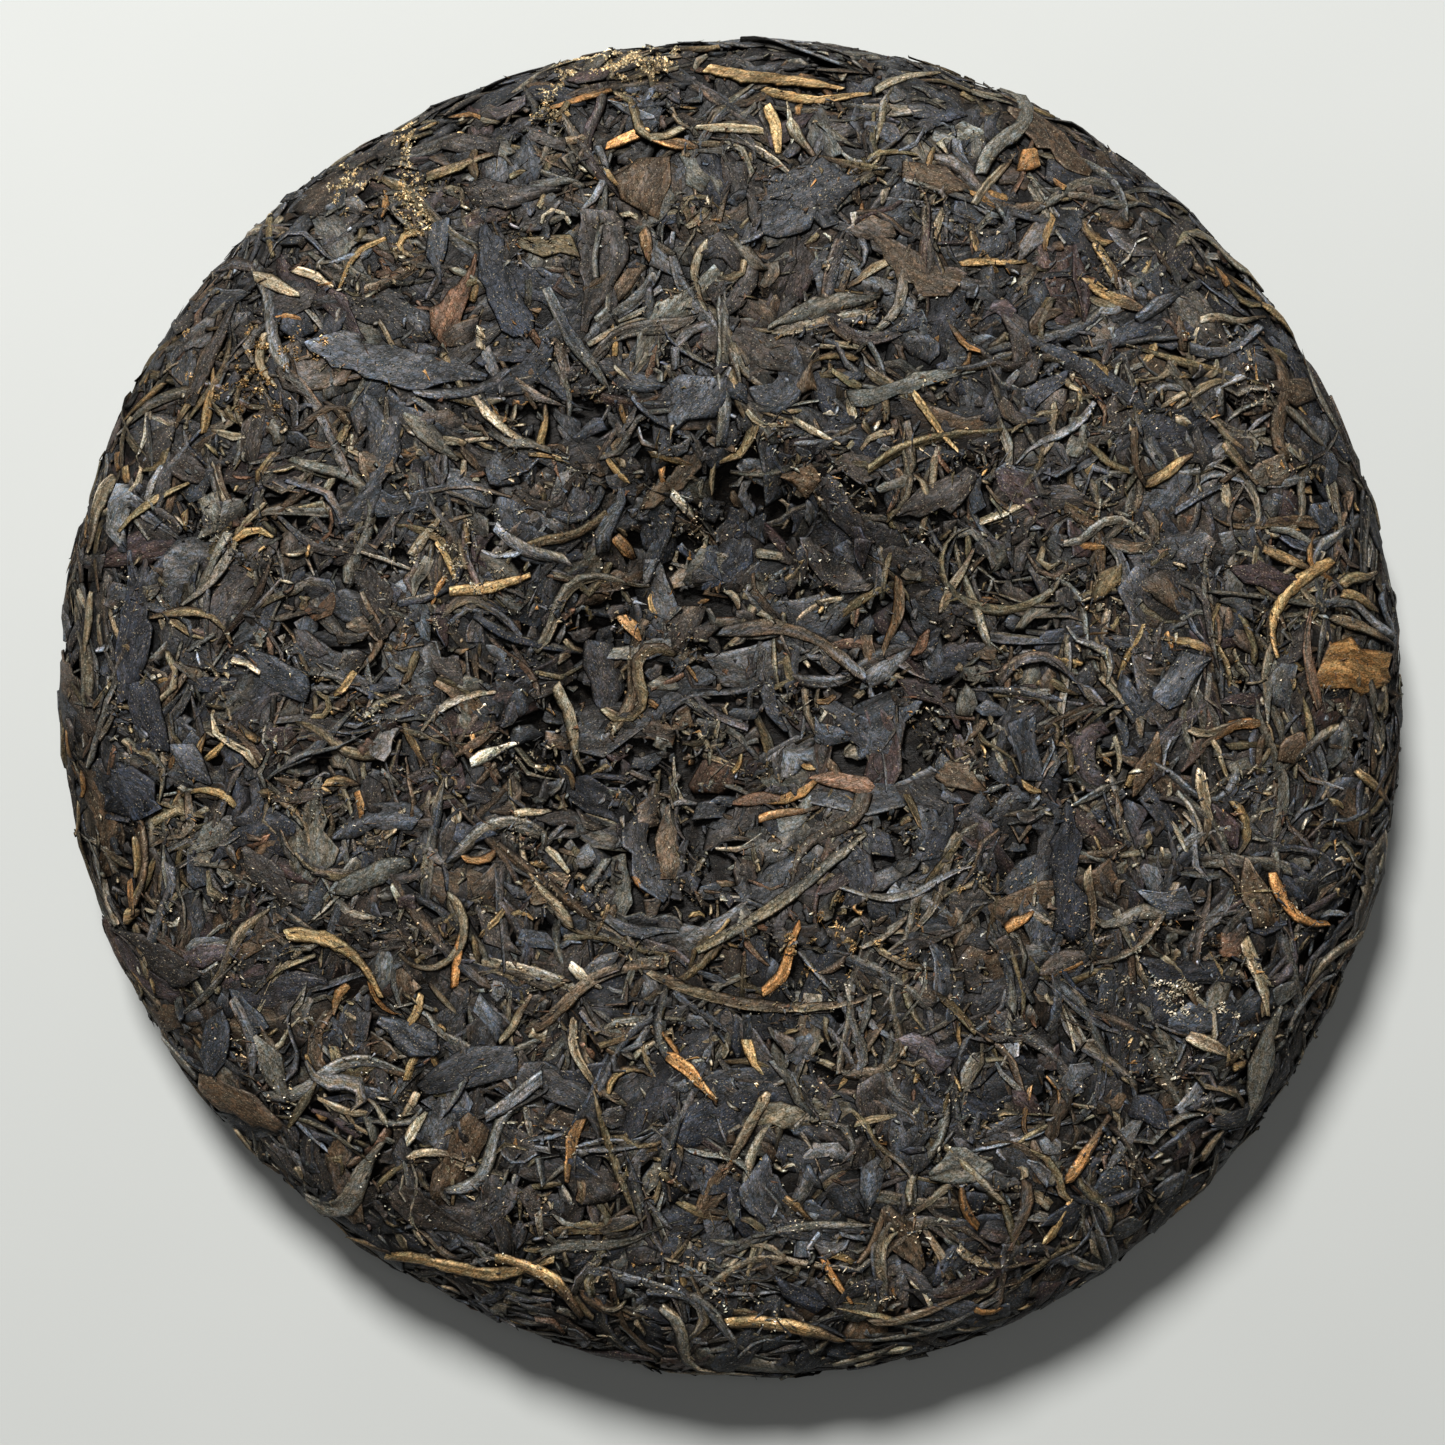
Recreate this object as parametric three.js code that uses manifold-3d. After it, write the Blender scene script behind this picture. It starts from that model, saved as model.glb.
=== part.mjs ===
// Raw pu-erh tea cake: whole leaves, stems and buds, steamed and pressed under a stone
// into one round cake. Its back lies up, with the hollow that the knotted pressing cloth
// leaves, and its slightly domed front lies down on a small flat spot.
// Millimetres, +Z up, origin on the surface that the cake rests on, under its middle.

import * as THREE from 'three';
import { mergeVertices } from 'three/addons/utils/BufferGeometryUtils.js';
import Module from 'manifold-3d';

const wasm = await Module();
wasm.setup();

// Driving dimensions of the pressed cake
const CAKE_RADIUS = 97.2;
const CAKE_THICKNESS = 24;
const WIDEST_HEIGHT = 11;
const BACK_FULLNESS = 5;
const FRONT_FULLNESS = 6;
const REST_SPOT_RADIUS = 34;

// The outline isn't a true circle: each swell has a number of lobes, a size and an angle
const OUTLINE_SWELLS = [
  { lobes: 2, size: 0.75, angle: -38 },
  { lobes: 3, size: 0.91, angle: 45 },
  { lobes: 5, size: 0.22, angle: -5 },
];

// The hollow that the knot of the pressing cloth leaves in the back
const HOLLOW_CENTRE = new THREE.Vector2(1.3, 2.8);
const HOLLOW_LIP_RADIUS = 36;
const HOLLOW_FLOOR_RADIUS = 17;
const HOLLOW_DEPTH = 6;

// The pressed leaves as bumps of the cake's skin
const SKIN_CELL = 6.8;
const SKIN_JITTER = 0.26;
const BUMP_COUNT = 460;
const BUMP_LENGTH = [12, 25];
const BUMP_WIDTH = [5, 8];
const BUMP_HEIGHT = [0.3, 1.7];
const SKIN_SINK = 0.5;
const FEWEST_SIDES = 6;
const SECTION_SAMPLES = 4000;
const SECTION_STEP = 0.5;
const NORMAL_REACH = 0.8;
const WELD_REACH = 1e-5;

// The loose-lying pieces that show, fused on: how far they rise and how deep they bite
const PIECE_RISE = 1.2;
const PIECE_BITE = 1.3;
const ROUTE_STEP = 7.5;
const TURN_STEP = 36;
const FEWEST_STEPS = 2;
const TIP_WIDTH = 0.35;
const LEAF_EDGE_RISE = 0.3;
const LEAF_WAVE = 0.3;
const STEM_FOOT_SPREAD = 1.9;
const TIP_ROOM = 0.35;
const OPEN_BEND = 120;
const FLOOR_CLEARANCE = 0.05;

// Pieces that stand out on the back. x, y: the middle; heading: degrees from +X;
// bend: degrees turned along the piece, anticlockwise; long and wide in millimetres
const STANDOUT_STEMS = [
  { x: 5.9, y: 88.9, heading: -9, long: 20, bend: 8, wide: 1.8 },
  { x: 11.7, y: 86.5, heading: -2, long: 16, bend: 25, wide: 1.5 },
  { x: -13, y: 83, heading: -28, long: 14, bend: 25, wide: 2.1 },
  { x: 24.7, y: 89.3, heading: 21, long: 10.5, bend: -25, wide: 1.5 },
  { x: 21.1, y: 83.1, heading: -108, long: 10.2, bend: -28, wide: 1.5 },
  { x: 38.8, y: 82.4, heading: -104, long: 19.6, bend: -45, wide: 2.1 },
  { x: 61.7, y: 71.8, heading: -6, long: 20.8, bend: -40, wide: 1.6 },
  { x: -5, y: 55.7, heading: -69, long: 23.5, bend: 20, wide: 1.8 },
  { x: 22.1, y: 56.4, heading: -116, long: 17.9, bend: 15, wide: 1.6 },
  { x: 1.5, y: 47.3, heading: 14, long: 20, bend: 45, wide: 1.7 },
  { x: 54.2, y: 57.2, heading: -28, long: 10.7, bend: 30, wide: 2 },
  { x: 70.7, y: 64, heading: -14, long: 17.4, bend: -105, wide: 1.6 },
  { x: 79.6, y: 54.5, heading: -37, long: 9, bend: -20, wide: 1.8 },
  { x: 61.3, y: 32.8, heading: 31, long: 8.1, bend: 0, wide: 1.7 },
  { x: 45.2, y: 37.7, heading: 39, long: 14.8, bend: 0, wide: 1.5 },
  { x: -83.4, y: 42, heading: 27, long: 13.6, bend: -20, wide: 1.6 },
  { x: -91.2, y: 27.1, heading: -111, long: 12, bend: 8, wide: 2.4 },
  { x: -82.2, y: 28.3, heading: 33, long: 12.9, bend: -34, wide: 1.6 },
  { x: -34.3, y: 16.4, heading: 12, long: 12, bend: 20, wide: 1.8 },
  { x: -76.4, y: 11.4, heading: -18, long: 14.5, bend: -85, wide: 1.6 },
  { x: -82.7, y: -9.5, heading: -60, long: 12.4, bend: -22, wide: 1.6 },
  { x: -70.3, y: -34.3, heading: 51, long: 14.1, bend: 0, wide: 1.6 },
  { x: -55.8, y: -36, heading: -33, long: 17.6, bend: -72, wide: 2.2 },
  { x: -41.7, y: -33.3, heading: -133, long: 19, bend: -205, wide: 1.6 },
  { x: 22.3, y: 11.9, heading: -101, long: 11, bend: -10, wide: 1.8 },
  { x: 36.3, y: 17.8, heading: 150, long: 31, bend: -250, wide: 1.6 },
  { x: -22.9, y: -3.9, heading: -71, long: 13.2, bend: 10, wide: 1.8 },
  { x: -13.7, y: 3.3, heading: 36, long: 19.4, bend: 15, wide: 1.6 },
  { x: 10.2, y: -12.7, heading: 15, long: 20.7, bend: 10, wide: 2.8 },
  { x: 12.8, y: -18.8, heading: 51, long: 17.3, bend: -8, wide: 2.2 },
  { x: 23.4, y: -25.6, heading: 6, long: 24, bend: 5, wide: 1.6 },
  { x: 7.2, y: -26.7, heading: 35, long: 29.3, bend: 12, wide: 1.6 },
  { x: 4.4, y: -41, heading: -5, long: 34, bend: 52, wide: 1.8 },
  { x: 79.2, y: 13.9, heading: -120, long: 18.5, bend: 80, wide: 1.9 },
  { x: 88.6, y: 17.2, heading: 20, long: 6.8, bend: 0, wide: 1.9 },
  { x: 88.8, y: 10.3, heading: -20, long: 10.2, bend: -10, wide: 1.7 },
  { x: 81.9, y: 6.1, heading: -83, long: 12.3, bend: 22, wide: 1.6 },
  { x: 75.2, y: -6.6, heading: -9, long: 12.1, bend: -33, wide: 1.5 },
  { x: 66, y: -15.1, heading: -92, long: 10.8, bend: -37, wide: 1.8 },
  { x: 80, y: -28.9, heading: -39, long: 13.2, bend: 78, wide: 1.8 },
  { x: 74.2, y: -39.1, heading: -70, long: 12, bend: -14, wide: 2.2 },
  { x: -74.5, y: -40.7, heading: 42, long: 12.8, bend: 6, wide: 1.9 },
  { x: -69.5, y: -48.2, heading: -81, long: 13.5, bend: -42, wide: 1.6 },
  { x: -56.5, y: -54, heading: -55, long: 14, bend: -80, wide: 2.1 },
  { x: -37.7, y: -80.3, heading: 2, long: 25.5, bend: 15, wide: 2.1 },
  { x: -27.1, y: -82.8, heading: -36, long: 16.3, bend: -60, wide: 2.1 },
  { x: -55.1, y: -68.1, heading: 35, long: 18.5, bend: 80, wide: 3.1 },
  { x: -21.3, y: -50.1, heading: -71, long: 12.2, bend: 45, wide: 1.6 },
  { x: -5.7, y: -52.9, heading: -41, long: 9.8, bend: 0, wide: 1.8 },
  { x: 1.5, y: -60.8, heading: -118, long: 13.1, bend: 6, wide: 1.6 },
  { x: 7.3, y: -89.3, heading: -10, long: 17.2, bend: -40, wide: 2 },
  { x: 26.9, y: -86.4, heading: 17, long: 16, bend: 30, wide: 1.5 },
  { x: -6.9, y: -90.6, heading: -52, long: 13.5, bend: 20, wide: 1.8 },
  { x: -16.6, y: -76.2, heading: 15, long: 21.8, bend: -30, wide: 2.1 },
  { x: 10.9, y: -74.3, heading: 5, long: 17.4, bend: -12, wide: 1.6 },
  { x: 50.3, y: -63, heading: 59, long: 11.4, bend: -6, wide: 1.8 },
  { x: 36.8, y: -79, heading: -9, long: 12, bend: 100, wide: 1.6 },
];

const STANDOUT_LEAVES = [
  { x: 10.9, y: 71.5, heading: 20, long: 15, bend: 0, wide: 9 },
  { x: -12.4, y: 74, heading: 70, long: 8, bend: 0, wide: 6.5 },
  { x: 27.6, y: 74.3, heading: -31, long: 9.1, bend: 0, wide: 3.6 },
  { x: 45.3, y: 80, heading: -39, long: 15.4, bend: -8, wide: 4.6 },
  { x: 80.5, y: 44.2, heading: -10, long: 7.5, bend: 0, wide: 5.7 },
  { x: 49, y: 59.2, heading: -85, long: 11.6, bend: 0, wide: 3.6 },
  { x: 48.7, y: 47.1, heading: -34, long: 23.6, bend: 0, wide: 2.6 },
  { x: -38.8, y: 58.7, heading: 60, long: 12.2, bend: 0, wide: 3.8 },
  { x: -46.2, y: 47.9, heading: -15, long: 24.4, bend: 14, wide: 5 },
  { x: -85.2, y: 12.3, heading: -85, long: 19, bend: 8, wide: 5 },
  { x: -65, y: 4, heading: -45, long: 12, bend: 0, wide: 6 },
  { x: -65, y: -25.4, heading: -45, long: 12.5, bend: 0, wide: 5 },
  { x: 12.4, y: 55.3, heading: 16, long: 16.8, bend: -6, wide: 3 },
  { x: 25.3, y: 44.8, heading: 13, long: 18.5, bend: 5, wide: 2.4 },
  { x: 88.5, y: 4, heading: -5, long: 12, bend: 0, wide: 7.5 },
  { x: 46.8, y: -24, heading: -85, long: 20, bend: 6, wide: 4 },
  { x: 73.8, y: -27.3, heading: -73, long: 10.6, bend: 0, wide: 5 },
  { x: -65.5, y: -52.3, heading: -61, long: 10.6, bend: 10, wide: 4.4 },
  { x: 24.2, y: -76.2, heading: -60, long: 11, bend: 0, wide: 7.5 },
  { x: 75.5, y: -51.1, heading: 75, long: 17.5, bend: 10, wide: 3.8 },
  { x: -6.8, y: 42, heading: 60, long: 9, bend: 0, wide: 7 },
];

// Pieces strewn by rule over the rim, the front and the back. Each band starts and ends
// at a distance from its landmark, and its pieces stray from lying round the cake
const RIM_STREWN = { count: 28, reach: 9, stray: 50 };
const FRONT_STREWN = { count: 20, fromRim: 14, fromSpot: 16, stray: 170 };
const BACK_STREWN = { count: 15, fromMiddle: 25, fromRim: 20, stray: 170 };
const STREWN_LENGTH = [13, 26];
const STREWN_WIDTH = [2.2, 4.6];
const STREWN_BEND = 60;
const STREWN_SHIFT = 0.7;
const RANDOM_SEED = 357;

const TEA_COLOUR = '#3d3833';

// A seeded draw, the same on every run
function seededRandom(seed) {
  let state = seed >>> 0;
  return () => {
    state = (state + 0x6d2b79f5) >>> 0;
    let mixed = state;
    mixed = Math.imul(mixed ^ (mixed >>> 15), mixed | 1);
    mixed ^= mixed + Math.imul(mixed ^ (mixed >>> 7), mixed | 61);
    return ((mixed ^ (mixed >>> 14)) >>> 0) / 4294967296;
  };
}

const random = seededRandom(RANDOM_SEED);
const between = ([low, high]) => low + (high - low) * random();
const radians = THREE.MathUtils.degToRad;
const smoothstep = THREE.MathUtils.smoothstep;

// Half of the cake's cross-section, from the middle of its back round the rim to the
// middle of its front: a fuller and a flatter half-oval that meet where it is widest
class CakeSection extends THREE.Curve {
  getPoint(t) {
    const angle = (0.5 - t) * Math.PI;
    const isBack = angle > 0;
    const fullness = isBack ? BACK_FULLNESS : FRONT_FULLNESS;
    const rise = isBack ? CAKE_THICKNESS - WIDEST_HEIGHT : WIDEST_HEIGHT;
    const radius = CAKE_RADIUS * Math.max(Math.cos(angle), 0) ** (2 / fullness);
    return new THREE.Vector2(radius, WIDEST_HEIGHT + rise * Math.sin(angle));
  }
}

// The cake's smooth surface, by angle round it and distance along its cross-section
class CakeSurface {
  constructor() {
    const section = new CakeSection();
    section.arcLengthDivisions = SECTION_SAMPLES;
    this.length = section.getLength();
    this.samples = section.getSpacedPoints(Math.round(this.length / SECTION_STEP));
    this.step = this.length / (this.samples.length - 1);
  }

  section(along) {
    const place = THREE.MathUtils.clamp(along / this.step, 0, this.samples.length - 1.001);
    const low = Math.floor(place);
    return this.samples[low].clone().lerp(this.samples[low + 1], place - low);
  }

  swell(angle) {
    let radius = CAKE_RADIUS;
    for (const { lobes, size, angle: peak } of OUTLINE_SWELLS) {
      radius += size * Math.cos(lobes * (angle - radians(peak)));
    }
    return radius / CAKE_RADIUS;
  }

  point(angle, along) {
    const { x: radius, y: height } = this.section(along);
    const reach = radius * this.swell(angle);
    const place = new THREE.Vector3(reach * Math.cos(angle), reach * Math.sin(angle), height);
    if (height > WIDEST_HEIGHT) {
      const fromHollow = Math.hypot(place.x - HOLLOW_CENTRE.x, place.y - HOLLOW_CENTRE.y);
      place.z -= HOLLOW_DEPTH * (1 - smoothstep(fromHollow, HOLLOW_FLOOR_RADIUS, HOLLOW_LIP_RADIUS));
    }
    return place;
  }

  // Outward normal, from neighbours a small step away round and along
  normal(angle, along) {
    const reach = Math.max(this.section(along).x, 1);
    const turn = NORMAL_REACH / reach;
    const round = this.point(angle + turn, along).sub(this.point(angle - turn, along));
    const above = this.point(angle, Math.max(along - NORMAL_REACH, 0));
    const down = this.point(angle, along + NORMAL_REACH).sub(above);
    return down.cross(round).normalize();
  }

  // The place on the back that lies straight below or above a point seen in plan
  under(x, y) {
    const angle = Math.atan2(y, x);
    const reach = Math.hypot(x, y) / this.swell(angle);
    const last = this.samples.findIndex(({ x: radius, y: height }) =>
      radius >= reach || height < WIDEST_HEIGHT);
    return { angle, along: last * this.step };
  }
}

const surface = new CakeSurface();

// Leaf-sized bumps: each is a long low mound lying along the surface
function makeBumps() {
  const bumps = [];
  for (let i = 0; i < BUMP_COUNT; i += 1) {
    const angle = between([0, 2 * Math.PI]);
    const along = surface.length * Math.sqrt(random());
    const mirrored = random() < 0.5 ? along : surface.length - along;
    const centre = surface.point(angle, mirrored);
    const normal = surface.normal(angle, mirrored);
    const direction = new THREE.Vector3(random() - 0.5, random() - 0.5, random() - 0.5);
    direction.projectOnPlane(normal).normalize();
    bumps.push({
      centre,
      direction,
      side: new THREE.Vector3().crossVectors(normal, direction),
      halfLong: between(BUMP_LENGTH) / 2,
      halfWide: between(BUMP_WIDTH) / 2,
      height: between(BUMP_HEIGHT),
    });
  }
  return bumps;
}

function bumpHeight(bumps, place) {
  const offset = new THREE.Vector3();
  let height = 0;
  for (const bump of bumps) {
    offset.subVectors(place, bump.centre);
    const farLong = offset.dot(bump.direction) / bump.halfLong;
    const farWide = offset.dot(bump.side) / bump.halfWide;
    const reach = Math.hypot(farLong, farWide);
    const isNear = offset.length() < bump.halfLong;
    if (isNear && reach < 1) height = Math.max(height, bump.height * Math.sqrt(1 - reach * reach));
  }
  return height;
}

// A skin vertex: the smooth surface, sunk a little, with its bump on top. The middle of
// the front stays flat, because the cake rests on it
function skinPoint(bumps, angle, along) {
  const place = surface.point(angle, along);
  const isFront = along > surface.length / 2;
  const reach = Math.hypot(place.x, place.y);
  const lift = bumpHeight(bumps, place) - SKIN_SINK;
  if (isFront && reach < REST_SPOT_RADIUS) place.z = 0;
  else place.addScaledVector(surface.normal(angle, along), lift);
  place.z = Math.max(place.z, 0);
  return place;
}

// Rings of vertices from the middle of the back to the middle of the front, each with
// as many as its girth needs, so that the facets are alike in size
function makeRings(bumps) {
  const count = Math.round(surface.length / SKIN_CELL);
  const rings = [[skinPoint(bumps, 0, 0)]];
  for (let k = 1; k < count; k += 1) {
    const along = (surface.length * k) / count;
    const girth = 2 * Math.PI * surface.section(along).x;
    const sides = Math.max(FEWEST_SIDES, Math.round(girth / SKIN_CELL));
    const phase = random();
    const ring = [];
    for (let i = 0; i < sides; i += 1) {
      const angle = ((i + phase + SKIN_JITTER * (random() - 0.5)) / sides) * 2 * Math.PI;
      ring.push(skinPoint(bumps, angle, along + SKIN_CELL * SKIN_JITTER * (random() - 0.5)));
    }
    rings.push(ring);
  }
  rings.push([skinPoint(bumps, 0, surface.length)]);
  return rings;
}

// Zip two neighbouring rings together with triangles, the shorter step first
function zipRings(inner, outer, innerStart, outerStart, triangles) {
  const unrolled = (ring) => {
    const angles = ring.map(({ x, y }) => Math.atan2(y, x));
    for (let i = 1; i < angles.length; i += 1) {
      while (angles[i] < angles[i - 1]) angles[i] += 2 * Math.PI;
    }
    angles.push(angles[0] + 2 * Math.PI);
    return angles;
  };
  const innerAngles = unrolled(inner);
  const outerAngles = unrolled(outer);
  const wholeTurns = Math.round((outerAngles[0] - innerAngles[0]) / (2 * Math.PI));
  for (let k = 0; k < outerAngles.length; k += 1) outerAngles[k] -= wholeTurns * 2 * Math.PI;
  let i = 0;
  let j = 0;
  while (i < inner.length || j < outer.length) {
    const a = innerStart + (i % inner.length);
    const b = outerStart + (j % outer.length);
    const innerDone = i === inner.length;
    const outerNearer = j < outer.length && outerAngles[j + 1] <= innerAngles[i + 1];
    if (innerDone || outerNearer) {
      j += 1;
      triangles.push(a, b, outerStart + (j % outer.length));
    } else {
      i += 1;
      triangles.push(a, b, innerStart + (i % inner.length));
    }
  }
}

function makeSkin() {
  const bumps = makeBumps();
  const rings = makeRings(bumps);
  const starts = [];
  const points = [];
  for (const ring of rings) {
    starts.push(points.length);
    points.push(...ring);
  }
  const triangles = [];
  const last = rings.length - 1;
  const closeRing = (ring, first, middle, isFront) => {
    for (let i = 0; i < ring.length; i += 1) {
      const here = first + i;
      const next = first + ((i + 1) % ring.length);
      triangles.push(middle, isFront ? next : here, isFront ? here : next);
    }
  };
  closeRing(rings[1], starts[1], 0, false);
  for (let k = 1; k < last - 1; k += 1) {
    zipRings(rings[k], rings[k + 1], starts[k], starts[k + 1], triangles);
  }
  closeRing(rings[last - 1], starts[last - 1], starts[last], true);
  return { points, triangles };
}

// A closed solid from points and triangles
function toSolid({ points, triangles }) {
  const geometry = new THREE.BufferGeometry().setFromPoints(points);
  geometry.setIndex(triangles);
  const merged = mergeVertices(geometry, WELD_REACH);
  return new wasm.Manifold(new wasm.Mesh({
    numProp: 3,
    vertProperties: new Float32Array(merged.attributes.position.array),
    triVerts: new Uint32Array(merged.index.array),
  }));
}

// How many straight steps a piece is made of
function stepCount({ long, bend }) {
  const forLength = Math.round(long / ROUTE_STEP);
  const forBend = Math.round(Math.abs(bend) / TURN_STEP);
  return Math.max(FEWEST_STEPS, forLength, forBend);
}

// Walk over the surface from a start, turning steadily, and note each station passed
function walk({ angle, along, heading, long, bend }) {
  const steps = stepCount({ long, bend: THREE.MathUtils.radToDeg(bend) });
  const stride = long / steps;
  const stations = [{ angle, along }];
  let course = heading - bend / 2 + bend / steps / 2;
  for (let i = 0; i < steps; i += 1) {
    const { angle: here, along: far } = stations[i];
    const girthRadius = Math.max(surface.section(far).x, 2);
    stations.push({
      angle: here + (stride * Math.sin(course)) / girthRadius,
      along: far + stride * Math.cos(course),
    });
    course += bend / steps;
  }
  return stations;
}

// A stretch of a piece as seen in plan, from its middle, heading and steady bend
function planRoute({ x, y, heading, long, bend }) {
  const steps = stepCount({ long, bend });
  const stride = long / steps;
  const route = [new THREE.Vector2(0, 0)];
  for (let i = 0; i < steps; i += 1) {
    const course = radians(heading + bend * ((i + 0.5) / steps - 0.5));
    const step = new THREE.Vector2(Math.cos(course), Math.sin(course)).multiplyScalar(stride);
    route.push(route[i].clone().add(step));
  }
  const middle = route[0].clone().lerp(route[steps], 0.5);
  if (Math.abs(bend) < OPEN_BEND) middle.lerp(route[Math.round(steps / 2)], 0.5);
  const shift = new THREE.Vector2(x, y).sub(middle);
  return route.map((point) => surface.under(point.x + shift.x, point.y + shift.y));
}

// One thin piece, tapering to both tips. A leaf's section has a ridge, two wavy edges and
// a keel that bites into the cake. A stem's has a ridge and two feet under the skin
function makePiece(stations, wide, isLeaf) {
  const points = [];
  const triangles = [];
  const last = stations.length - 1;
  const places = stations.map(({ angle, along }) => surface.point(angle, along));
  for (let i = 0; i <= last; i += 1) {
    const { angle, along } = stations[i];
    const normal = surface.normal(angle, along);
    const before = places[Math.max(i - 1, 0)];
    const ahead = places[Math.min(i + 1, last)].clone().sub(before).normalize();
    const side = new THREE.Vector3().crossVectors(normal, ahead).normalize();
    const share = (i + TIP_ROOM) / (last + 2 * TIP_ROOM);
    const taper = TIP_WIDTH + (1 - TIP_WIDTH) * Math.sin(Math.PI * share);
    const half = (wide / 2) * taper;
    const at = (across, up) => {
      const point = places[i].clone().addScaledVector(side, across);
      return point.addScaledVector(normal, up);
    };
    if (isLeaf) {
      const wave = LEAF_WAVE * (i % 2 === 0 ? 1 : -1);
      const left = at(half, LEAF_EDGE_RISE + wave);
      const right = at(-half, LEAF_EDGE_RISE - wave);
      points.push(left, at(0, PIECE_RISE), right, at(0, -PIECE_BITE));
    } else {
      const foot = half * STEM_FOOT_SPREAD;
      points.push(at(foot, -PIECE_BITE), at(0, PIECE_RISE), at(-foot, -PIECE_BITE));
    }
  }
  const sides = isLeaf ? 4 : 3;
  for (let i = 0; i < last; i += 1) {
    for (let k = 0; k < sides; k += 1) {
      const a = i * sides + k;
      const b = i * sides + ((k + 1) % sides);
      triangles.push(a, b, b + sides, a, b + sides, a + sides);
    }
  }
  const end = last * sides;
  for (let k = 1; k < sides - 1; k += 1) {
    triangles.push(0, k + 1, k);
    triangles.push(end, end + k, end + k + 1);
  }
  for (const point of points) point.z = Math.max(point.z, FLOOR_CLEARANCE);
  return toSolid({ points, triangles });
}

// Strips and leaves strewn over a band of the surface, lying mostly round the cake
function strewPieces({ count, stray }, nearest, farthest) {
  const pieces = [];
  for (let i = 0; i < count; i += 1) {
    const start = {
      angle: ((i + STREWN_SHIFT * random()) / count) * 2 * Math.PI,
      along: between([nearest, farthest]),
      heading: radians((random() < 0.5 ? 90 : -90) + stray * (random() - 0.5)),
      long: between(STREWN_LENGTH),
      bend: radians(STREWN_BEND * (random() - 0.5)),
    };
    pieces.push(makePiece(walk(start), between(STREWN_WIDTH), random() < 0.5));
  }
  return pieces;
}

// The outer skin alone, with any pocket that fusing sealed filled and loose scraps dropped
function outerSkinOf(solid) {
  return solid.decompose().reduce((best, part) => (part.volume() > best.volume() ? part : best));
}

function makeCakeGeometry() {
  let cake = toSolid(makeSkin());
  const rim = surface.length / 2;
  const frontStart = rim + FRONT_STREWN.fromRim;
  const frontEnd = surface.length - REST_SPOT_RADIUS - FRONT_STREWN.fromSpot;
  const pieces = [
    ...STANDOUT_LEAVES.map((leaf) => makePiece(planRoute(leaf), leaf.wide, true)),
    ...STANDOUT_STEMS.map((stem) => makePiece(planRoute(stem), stem.wide, false)),
    ...strewPieces(RIM_STREWN, rim - RIM_STREWN.reach, rim + RIM_STREWN.reach),
    ...strewPieces(FRONT_STREWN, frontStart, frontEnd),
    ...strewPieces(BACK_STREWN, BACK_STREWN.fromMiddle, rim - BACK_STREWN.fromRim),
  ];
  for (const piece of pieces) cake = cake.add(piece);
  const mesh = outerSkinOf(cake).getMesh();
  const positions = new Float32Array(mesh.vertProperties);
  const geometry = new THREE.BufferGeometry();
  geometry.setAttribute('position', new THREE.BufferAttribute(positions, 3));
  geometry.setIndex(new THREE.BufferAttribute(new Uint32Array(mesh.triVerts), 1));
  geometry.computeVertexNormals();
  return geometry;
}

const teaCake = new THREE.Mesh(
  makeCakeGeometry(),
  new THREE.MeshStandardMaterial({ color: TEA_COLOUR, roughness: 0.75, metalness: 0 }),
);
teaCake.name = 'tea_cake';

const cake = new THREE.Group();
cake.add(teaCake);

export default cake;
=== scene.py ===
import math
from collections import namedtuple
from functools import partial
import bpy
import numpy as np
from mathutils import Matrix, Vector


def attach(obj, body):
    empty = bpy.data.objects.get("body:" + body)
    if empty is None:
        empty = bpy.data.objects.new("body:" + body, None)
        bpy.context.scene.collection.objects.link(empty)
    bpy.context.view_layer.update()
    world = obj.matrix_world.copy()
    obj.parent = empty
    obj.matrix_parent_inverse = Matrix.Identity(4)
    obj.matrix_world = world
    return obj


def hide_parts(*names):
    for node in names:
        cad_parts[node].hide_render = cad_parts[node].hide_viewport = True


# The raw pu-erh tea cake: some thousands of pressed leaves, stems, buds and crumbs over a
# dark core. Lengths are millimetres here, and become metres where a mesh is made.
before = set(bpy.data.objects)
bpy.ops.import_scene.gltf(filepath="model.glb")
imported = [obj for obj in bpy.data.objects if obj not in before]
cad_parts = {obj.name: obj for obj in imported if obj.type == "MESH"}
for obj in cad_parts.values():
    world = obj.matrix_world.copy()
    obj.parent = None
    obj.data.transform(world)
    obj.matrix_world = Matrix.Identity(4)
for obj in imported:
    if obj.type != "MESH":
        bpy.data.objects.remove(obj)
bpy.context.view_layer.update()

NODE = "tea_cake"
MM = 0.001
rng = np.random.default_rng(357)

# Driving dimensions of the pressed cake, the same as the solid's. A face's fullness is the
# power of its curve down to the rim: 2 is round, and more is flatter
CAKE_RADIUS = 97.2
CAKE_THICKNESS = 24.0
WIDEST_HEIGHT = 11.0
BACK_FULLNESS = 5
FRONT_FULLNESS = 6
OUTLINE_SWELLS = ((2, 0.75, -38), (3, 0.91, 45), (5, 0.22, -5))  # lobes, size, angle
HOLLOW_CENTRE = (1.3, 2.8)
HOLLOW_LIP_RADIUS = 36.0
HOLLOW_FLOOR_RADIUS = 17.0
HOLLOW_DEPTH = 6.0
SECTION_POINTS = 20001
NORMAL_REACH = 0.5

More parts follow.
